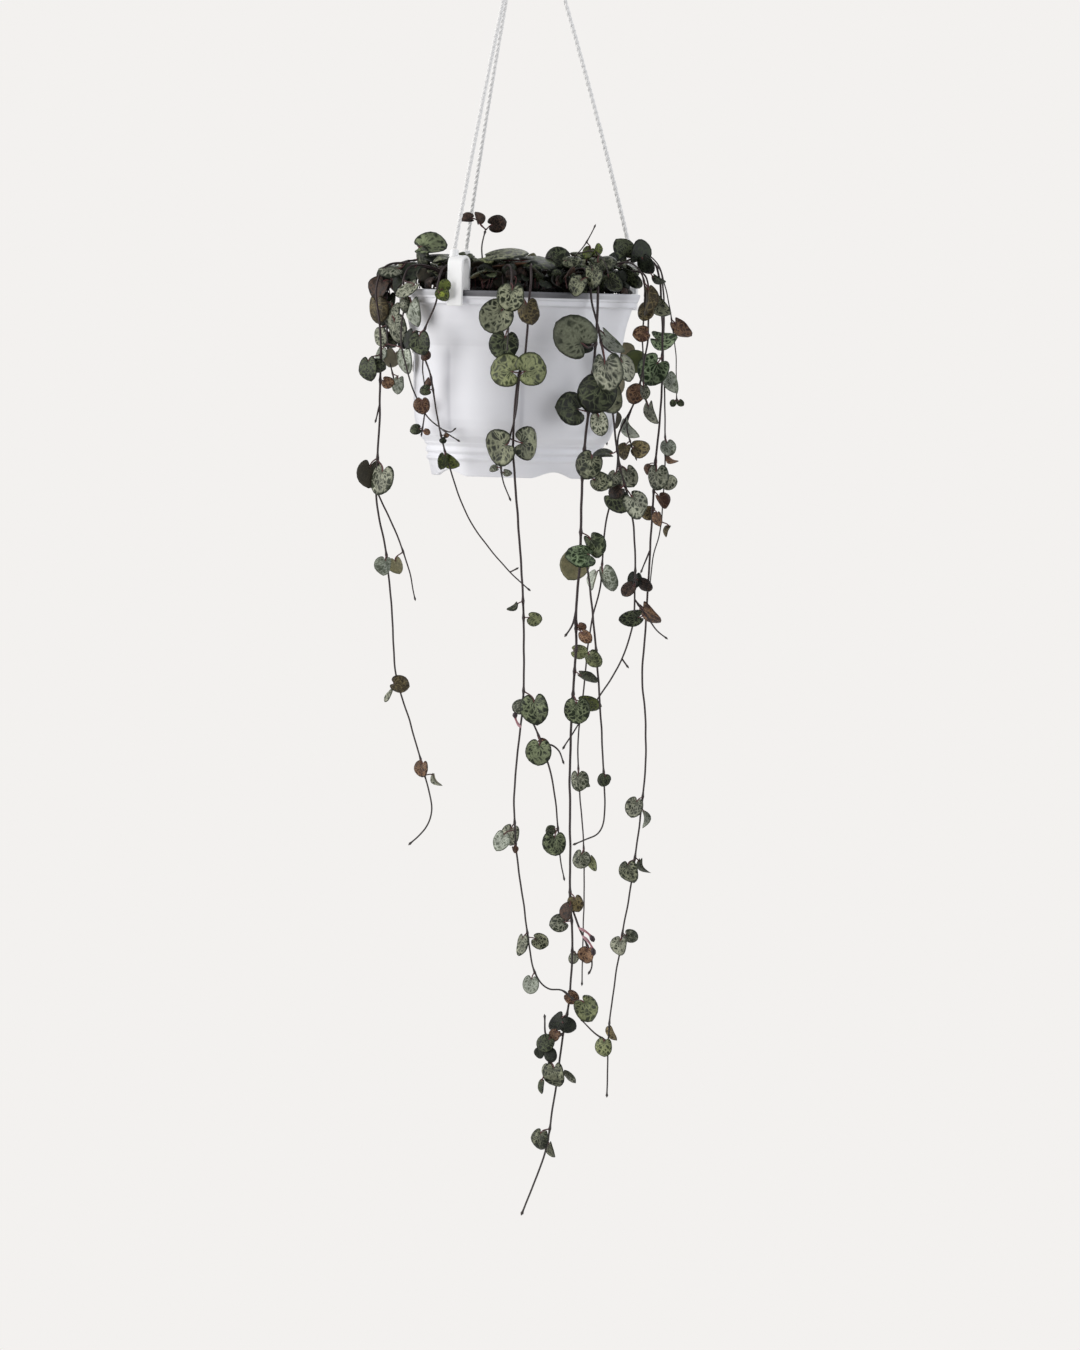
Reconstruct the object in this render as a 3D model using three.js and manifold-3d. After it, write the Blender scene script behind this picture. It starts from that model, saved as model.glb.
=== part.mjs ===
// A string of hearts, a trailing vine with small heart-shaped leaves, in a white pot that hangs by three
// strands from a hook. Millimetres, +Z up, the front faces -Y.
// The origin is the point inside the hook's bow that bears on whatever holds it up.
import * as THREE from "three";
import { mergeVertices } from "three/addons/utils/BufferGeometryUtils.js";
import Module from "manifold-3d";

const wasm = await Module();
wasm.setup();

// Driving dimensions of the holder, in the pot's own upright frame.
const HANG_TILT = THREE.MathUtils.degToRad(1.5); // the pot hangs a little out of level
const RIM_Z = -212.5; // top of the rim, below the hook
const AROUND = 40; // faces round the pot
const LIP_RADIUS = 62.7;
const LIP_BOTTOM = -4.3; // heights of the pot are measured from the rim
const COLLAR_BOTTOM = -27.5;
const BODY_BOTTOM = -74.5;
const FLOOR_TOP = -84.5;
const FLOOR_BOTTOM = -86.5;
const FOOT_BOTTOM = -95;
const FOOT_RADIUS = 42;
const LOBES = 8;
const LOBE_DEPTH = 1.6;
const LOBE_START = THREE.MathUtils.degToRad(4); // where the first valley lies, from the front
const ARCH_AZIMUTHS = [30, 150, 232, 308]; // degrees from the front, towards +X
const ARCH_HALF_WIDTH = 11;
const ARCH_HEIGHT = 3.6;
const DRAIN_HOLES = 8;
const DRAIN_HOLE_RADIUS = 2.5;
const DRAIN_CIRCLE_RADIUS = 27;
const DRAIN_CUT = 5; // length of the cut, longer than the floor is thick

// The clips that carry the pot: a strap bent over the rim, with a tooth under the lip and a boss on top.
const STRANDS = { front_left: -120, back_left: 120, right: 22 }; // azimuths in degrees from +X
const CLIP_WIDTH = 8.7;
const CLIP_RADIUS = 60.6; // middle of the bend
const CLIP_BEND_Z = 13.25;
const CLIP_BEND_OUTER = 4.3;
const CLIP_BEND_INNER = 2.6;
const CLIP_OUTER_LEG_Z = -8.2;
const CLIP_INNER_LEG_Z = -3;
const TOOTH_TOP = LIP_BOTTOM - 0.4;
const TOOTH_BOTTOM = -6.4;
const TOOTH_RADIUS = 61.4;
const BOSS_RADIUS = 2.2;
const BOSS_TOP = 20.5;
const BOSS_SIDEWAYS = -3;

const STRAND_DIAMETER = 2.4;
const STRAND_BOW = 1.5; // how far a strand bows outwards in its middle
const STRAND_POINTS = 16;
const STRAND_SEAT_GAP = 0.7;

const HOOK_INNER_RADIUS = 9;
const HOOK_ROD_RADIUS = 2.2;
const HOOK_END = THREE.MathUtils.degToRad(-10); // the mouth is between the rod's end and the neck
const PLATE_RADIUS = 14.5;
const PLATE_TOP = -25;
const PLATE_BOTTOM = -28;
const SOCKET_RADIUS = 2.6;
const SOCKET_CIRCLE_RADIUS = 11;
const SOCKET_BOTTOM = -32;

// Driving dimensions of the plant.
const ROOT_DEPTHS = [-222, -212, -203]; // a stem stands in the mix, then comes out of it
const ROOT_CLEARANCE = 0.7;
const STALK_RADIUS = 0.3;
const LEAF_THICKNESS = 1.1;
const STEM_SIDES = 4;
const STEM_STEP = 12; // length of one straight piece of a stem
// Where each short shoot of the crown lies: degrees from +X, the radius at which it starts and its height.
const CROWN_SHOOTS = [
  [10, 14, -198.5], [33, 34, -202], [54, 14, -198.5], [77, 34, -202], [98, 14, -198.5], [140, 34, -202],
  [161, 14, -198.5], [205, 5, -201], [336, 20, -203.5], [102, 36, -203.5], [6, 35, -201.5],
  [162, 35, -202.5], [247, 35, -204.5], [60, 36, -203.5], [126, 35, -203.5], [132, 12, -201.5],
  [223, 20, -198.5], [258, 12, -197], [329, 28, -197.5],
];
// Each vine behind the pot: how far round the rim from its back it hangs, the height of its first leaves,
// the drop from one pair of leaves to the next and the number of pairs.
const BACK_VINES = [
  [-3, -240, 16, 4], [22, -233, 21, 3], [48, -241, 17, 3], [-24, -236, 17, 4], [-44, -231, 19, 3],
];

const degrees = THREE.MathUtils.degToRad;
const vector = (point) => new THREE.Vector3(...point);

// A closed geometry as a solid.
function solidOf(geometry) {
  const bare = geometry.clone();
  bare.deleteAttribute("normal");
  bare.deleteAttribute("uv");
  const merged = mergeVertices(bare, 1e-4);
  const vertProperties = merged.attributes.position.array;
  const triVerts = new Uint32Array(merged.index.array);
  return new wasm.Manifold(new wasm.Mesh({ numProp: 3, vertProperties, triVerts }));
}

// A solid as a geometry.
function geometryOf(solid) {
  const mesh = solid.getMesh();
  const geometry = new THREE.BufferGeometry();
  geometry.setAttribute("position", new THREE.BufferAttribute(mesh.vertProperties, 3));
  geometry.setIndex(new THREE.BufferAttribute(mesh.triVerts, 1));
  return geometry;
}

// A profile of [radius, z] points turned round the Z axis.
function turned(profile, faces) {
  const points = profile.map(([radius, z]) => new THREE.Vector2(radius, z));
  return new THREE.LatheGeometry(points, faces).rotateX(Math.PI / 2);
}

// A round bar between two points.
function bar(start, end, radius, sides) {
  const along = new THREE.Vector3().subVectors(end, start);
  const geometry = new THREE.CylinderGeometry(radius, radius, along.length(), sides);
  const turn = new THREE.Quaternion().setFromUnitVectors(
    new THREE.Vector3(0, 1, 0),
    along.clone().normalize(),
  );
  geometry.applyQuaternion(turn);
  return geometry.translate(...start.clone().addScaledVector(along, 0.5).toArray());
}

// A tube along a curve, with flat ends.
function tube(curve, radius, sides, steps) {
  const corners = Array.from({ length: sides }, (_, i) => {
    const angle = (2 * Math.PI * i) / sides;
    return new THREE.Vector2(radius * Math.cos(angle), radius * Math.sin(angle));
  });
  return new THREE.ExtrudeGeometry(new THREE.Shape(corners), { steps, extrudePath: curve });
}

// The eight soft lobes of the pot's body: how far a point of its wall is drawn in. It depends on the angle
// from the front and on the height, and it fades out towards the collar.
function lobeInset(angle, z) {
  if (z > COLLAR_BOTTOM || z < BODY_BOTTOM - 2) return 0;
  const fade = Math.min(1, (COLLAR_BOTTOM - z) / 7);
  const wave = Math.abs(Math.sin((LOBES / 2) * (angle - LOBE_START))) ** 0.6;
  return fade * LOBE_DEPTH * (wave - 1);
}

function pressLobes(geometry) {
  const place = geometry.attributes.position;
  for (let i = 0; i < place.count; i++) {
    const x = place.getX(i);
    const y = place.getY(i);
    const radius = Math.hypot(x, y);
    if (radius < FOOT_RADIUS) continue;
    const scale = 1 + lobeInset(Math.atan2(x, -y), place.getZ(i)) / radius;
    place.setXY(i, x * scale, y * scale);
  }
  return geometry;
}

const INNER_WALL = [
  [57, -7],
  [52, COLLAR_BOTTOM],
  [51.7, COLLAR_BOTTOM - 7],
  [51.4, -50],
  [50.3, -66],
  [47.6, -73],
  [43.8, -78],
  [42.4, FLOOR_TOP],
];

function potGeometry() {
  const outer = [
    [0, FLOOR_BOTTOM],
    [42.3, FLOOR_BOTTOM],
    [40.2, FOOT_BOTTOM],
    [FOOT_RADIUS, FOOT_BOTTOM],
    [43.4, -88.5],
    [44.9, -85.8],
    [44.2, -83.6],
    [45.4, -81.6],
    [46, -78],
    [49.4, BODY_BOTTOM],
    [52.2, -66],
    [53.2, -50],
    [53.5, COLLAR_BOTTOM - 7],
    [53.9, COLLAR_BOTTOM],
    [56.4, -15],
    [58.6, -7.2],
    [60.8, -7],
    [60.9, LIP_BOTTOM],
    [LIP_RADIUS, LIP_BOTTOM],
    [LIP_RADIUS, -0.6],
    [62.2, 0],
    [60, 0],
  ];
  let pot = solidOf(pressLobes(turned([...outer, ...INNER_WALL, [0, FLOOR_TOP]], AROUND)));
  for (const azimuth of ARCH_AZIMUTHS) {
    const arch = new THREE.CylinderGeometry(1, 1, 12, 16);
    arch.scale(ARCH_HALF_WIDTH, 1, ARCH_HEIGHT);
    arch.translate(0, -FOOT_RADIUS, FOOT_BOTTOM);
    pot = pot.subtract(solidOf(arch.rotateZ(degrees(azimuth))));
  }
  for (let i = 0; i < DRAIN_HOLES; i++) {
    const hole = new THREE.CylinderGeometry(DRAIN_HOLE_RADIUS, DRAIN_HOLE_RADIUS, DRAIN_CUT, 8);
    hole.rotateX(Math.PI / 2);
    hole.translate(DRAIN_CIRCLE_RADIUS, 0, (FLOOR_TOP + FLOOR_BOTTOM) / 2);
    pot = pot.subtract(solidOf(hole.rotateZ((2 * Math.PI * i) / DRAIN_HOLES)));
  }
  return geometryOf(pot);
}

// The mix fills the pot and rises to a low dome in its mouth. Each stem stands in a hole of its own.
function mixGeometry(roots, frame) {
  const gap = 0.4;
  const wall = INNER_WALL.map(([radius, z]) => [radius - gap, Math.max(z, FLOOR_TOP + gap)]);
  const profile = [[0, FLOOR_TOP + gap], ...wall.reverse(), [56, -5], [48, -2], [30, 3], [0, 4]];
  const geometry = pressLobes(turned(profile, AROUND));
  let mix = solidOf(geometry.translate(0, 0, RIM_Z));
  for (const { root, stem } of roots) {
    const hole = bar(
      new THREE.Vector3(...root, ROOT_DEPTHS[0] - 1),
      new THREE.Vector3(...root, ROOT_DEPTHS[2]),
      (stem + ROOT_CLEARANCE) * Math.SQRT2,
      4,
    );
    mix = mix.subtract(solidOf(hole.applyMatrix4(frame)));
  }
  return geometryOf(mix);
}

// The strap's side view as [radius, z], extruded across its width and turned to its azimuth.
function clipGeometry(azimuth) {
  const side = new THREE.Shape();
  const outer = CLIP_RADIUS + CLIP_BEND_OUTER;
  const inner = CLIP_RADIUS + CLIP_BEND_INNER;
  side.moveTo(outer, CLIP_OUTER_LEG_Z);
  side.absarc(CLIP_RADIUS, CLIP_BEND_Z, CLIP_BEND_OUTER, 0, Math.PI, false);
  side.lineTo(CLIP_RADIUS - CLIP_BEND_OUTER, CLIP_INNER_LEG_Z);
  side.lineTo(CLIP_RADIUS - CLIP_BEND_INNER, CLIP_INNER_LEG_Z);
  side.absarc(CLIP_RADIUS, CLIP_BEND_Z, CLIP_BEND_INNER, Math.PI, 0, true);
  side.lineTo(inner, TOOTH_TOP);
  side.lineTo(TOOTH_RADIUS, TOOTH_TOP);
  side.lineTo(TOOTH_RADIUS + 0.5, TOOTH_BOTTOM);
  side.lineTo(inner, TOOTH_BOTTOM);
  side.lineTo(inner, CLIP_OUTER_LEG_Z);
  const strap = new THREE.ExtrudeGeometry(side, { depth: CLIP_WIDTH, curveSegments: 8, bevelEnabled: false });
  strap.translate(0, 0, -CLIP_WIDTH / 2);
  strap.rotateX(Math.PI / 2);
  const boss = bar(
    new THREE.Vector3(CLIP_RADIUS, BOSS_SIDEWAYS, CLIP_BEND_Z + CLIP_BEND_INNER + 0.6),
    new THREE.Vector3(CLIP_RADIUS, BOSS_SIDEWAYS, BOSS_TOP),
    BOSS_RADIUS,
    12,
  );
  return geometryOf(solidOf(strap).add(solidOf(boss))).rotateZ(degrees(azimuth));
}

// A strand from the boss of its clip to its socket under the hook's plate.
function strandPoints(azimuth) {
  const turn = degrees(azimuth);
  const axis = new THREE.Vector3(0, 0, 1);
  const bottom = new THREE.Vector3(CLIP_RADIUS, BOSS_SIDEWAYS, RIM_Z + BOSS_TOP + STRAND_SEAT_GAP);
  const top = new THREE.Vector3(SOCKET_CIRCLE_RADIUS, 0, SOCKET_BOTTOM - STRAND_SEAT_GAP);
  bottom.applyAxisAngle(axis, turn);
  top.applyAxisAngle(axis, turn);
  const outwards = new THREE.Vector3(Math.cos(turn), Math.sin(turn), 0);
  return Array.from({ length: STRAND_POINTS }, (_, i) => {
    const t = i / (STRAND_POINTS - 1);
    return bottom.clone().lerp(top, t).addScaledVector(outwards, 4 * t * (1 - t) * STRAND_BOW);
  });
}

function strandGeometry(azimuth) {
  const curve = new THREE.CatmullRomCurve3(strandPoints(azimuth));
  return tube(curve, STRAND_DIAMETER / 2, 8, 23);
}

// The top piece: an open bow with its mouth at the lower right, a neck, a round plate and three sockets.
function hookGeometry() {
  const bowZ = -HOOK_INNER_RADIUS;
  const bowRadius = HOOK_INNER_RADIUS + HOOK_ROD_RADIUS;
  const bow = Array.from({ length: 19 }, (_, i) => {
    const angle = THREE.MathUtils.lerp(1.5 * Math.PI, HOOK_END, i / 18);
    return new THREE.Vector3(bowRadius * Math.cos(angle), 0, bowZ + bowRadius * Math.sin(angle));
  });
  let hook = solidOf(tube(new THREE.CatmullRomCurve3(bow), HOOK_ROD_RADIUS, 8, 24));
  const tip = new THREE.SphereGeometry(HOOK_ROD_RADIUS * 1.02, 8, 6);
  hook = hook.add(solidOf(tip.translate(...bow.at(-1).toArray())));
  const neckTop = new THREE.Vector3(0, 0, bowZ - bowRadius);
  const neckFoot = new THREE.Vector3(0, 0, PLATE_TOP - 1);
  hook = hook.add(solidOf(bar(neckFoot, neckTop, HOOK_ROD_RADIUS * 1.3, 8)));
  const plate = [
    [0, PLATE_BOTTOM],
    [PLATE_RADIUS - 0.8, PLATE_BOTTOM],
    [PLATE_RADIUS, PLATE_BOTTOM + 0.8],
    [PLATE_RADIUS, PLATE_TOP - 0.8],
    [PLATE_RADIUS - 0.8, PLATE_TOP],
    [0, PLATE_TOP],
  ];
  hook = hook.add(solidOf(turned(plate, 24)));
  for (const azimuth of Object.values(STRANDS)) {
    const top = new THREE.Vector3(SOCKET_CIRCLE_RADIUS, 0, PLATE_BOTTOM + 1);
    const foot = new THREE.Vector3(SOCKET_CIRCLE_RADIUS, 0, SOCKET_BOTTOM);
    hook = hook.add(solidOf(bar(foot, top, SOCKET_RADIUS, 8).rotateZ(degrees(azimuth))));
  }
  return geometryOf(hook);
}

// The heart outline of a leaf 1 wide, [across, along]: from one lobe round the tip to the other lobe. The
// notch between the lobes is one point on the back and two on the front, where the stalk leaves.
const HEART = [
  [0.3, 0],
  [0.5, 0.3],
  [0, 0.93],
  [-0.5, 0.3],
  [-0.3, 0],
];
const FRONT = [[0.06, 0.15], ...HEART, [-0.06, 0.15]];
const BACK = [[0, 0.15], ...HEART];
const STALK_CORNERS = [
  [-STALK_RADIUS, STALK_RADIUS],
  [STALK_RADIUS, STALK_RADIUS],
  [0, -STALK_RADIUS],
];

// A leaf is stored by the middle of its blade, its width, the direction of its tip and that of its face.
// A hand-placed leaf has angles instead of directions. lean turns the tip in the front view, from straight
// down towards +X. turn swings the blade about its own length and tilt tips it forward.
function placedLeaf([x, y, z, width, lean, turn, tilt]) {
  const tip = new THREE.Vector3(Math.sin(degrees(lean)), 0, -Math.cos(degrees(lean)));
  const face = new THREE.Vector3(0, -1, 0);
  const across = new THREE.Vector3().crossVectors(tip, face);
  face.applyAxisAngle(tip, degrees(turn));
  across.applyAxisAngle(tip, degrees(turn));
  tip.applyAxisAngle(across, degrees(tilt));
  face.applyAxisAngle(across, degrees(tilt));
  return { middle: new THREE.Vector3(x, y, z), width, tip, face };
}

// A leaf with its three-sided stalk, as one closed mesh. The stalk leaves the notch straight, then turns to
// its foot.
function leafSolid({ middle, width, tip, face }, foot) {
  const across = new THREE.Vector3().crossVectors(tip, face);
  const offset = (u, w) => new THREE.Vector3().addScaledVector(across, u).addScaledVector(face, w);
  const along = (v) => middle.clone().addScaledVector(tip, (v - 0.5) * width);
  const skin = (outline, w) => outline.map(([u, v]) => along(v).add(offset(u * width, w * LEAF_THICKNESS)));
  const front = skin(FRONT, 0.5);
  const back = skin(BACK, -0.5);
  const triangles = [];
  const quad = (a, b, c, d) => triangles.push(a, b, c, a, c, d);
  const flat = (outline) =>
    THREE.ShapeUtils.triangulateShape(
      outline.map((point) => new THREE.Vector2(...point)),
      [],
    );
  for (const [a, b, c] of flat(FRONT)) triangles.push(front[a], front[b], front[c]);
  for (const [a, b, c] of flat(BACK)) triangles.push(back[c], back[b], back[a]);
  for (let k = 0; k < BACK.length; k++) {
    quad(back[k], back[(k + 1) % BACK.length], front[k + 1], front[k]);
  }

  const bend = along(-0.08);
  const up = tip.clone().negate();
  const heading = foot.clone().sub(bend).normalize();
  const ring = (centre, facing) => {
    const turn = new THREE.Quaternion().setFromUnitVectors(up, facing);
    return STALK_CORNERS.map(([u, w]) => offset(u, w).applyQuaternion(turn).add(centre));
  };
  const rings = [
    [front.at(-1), front[0], back[0]],
    ring(bend, up.clone().add(heading).normalize()),
    ring(foot, heading),
  ];
  for (const [upper, lower] of [[rings[0], rings[1]], [rings[1], rings[2]]]) {
    for (let j = 0; j < 3; j++) quad(lower[j], lower[(j + 1) % 3], upper[(j + 1) % 3], upper[j]);
  }
  triangles.push(...rings[2].toReversed());
  return solidOf(new THREE.BufferGeometry().setFromPoints(triangles));
}

function nearest(points, target) {
  return points.reduce((best, point) =>
    point.distanceToSquared(target) < best.distanceToSquared(target) ? point : best,
  );
}

// One vine: its stems joined with every leaf and its stalk. The first route is the main stem, which starts
// in the mix, and each other one starts on it.
function vineGeometry({ root, stem, routes, leaves }) {
  const rooted = ROOT_DEPTHS.map((z) => new THREE.Vector3(...root, z));
  const samples = [];
  let vine;
  routes.forEach((route, i) => {
    const points = route.map(vector);
    if (i > 0) points[0] = nearest(samples, points[0]).clone();
    const curve = new THREE.CatmullRomCurve3(i > 0 ? points : [...rooted, ...points]);
    const steps = Math.ceil(curve.getLength() / STEM_STEP);
    const solid = solidOf(tube(curve, i > 0 ? stem * 0.8 : stem, STEM_SIDES, steps));
    const bends = curve.getSpacedPoints(steps);
    bends.slice(1).forEach((bend, k) => {
      for (let t = 0; t < 1; t += 0.125) samples.push(bends[k].clone().lerp(bend, t));
    });
    vine = i > 0 ? vine.add(solid) : solid;
  });
  for (const leaf of leaves) {
    const foot = nearest(samples, leaf.middle.clone().addScaledVector(leaf.tip, -0.6 * leaf.width));
    vine = vine.add(leafSolid(leaf, foot));
  }
  return geometryOf(vine);
}

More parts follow.
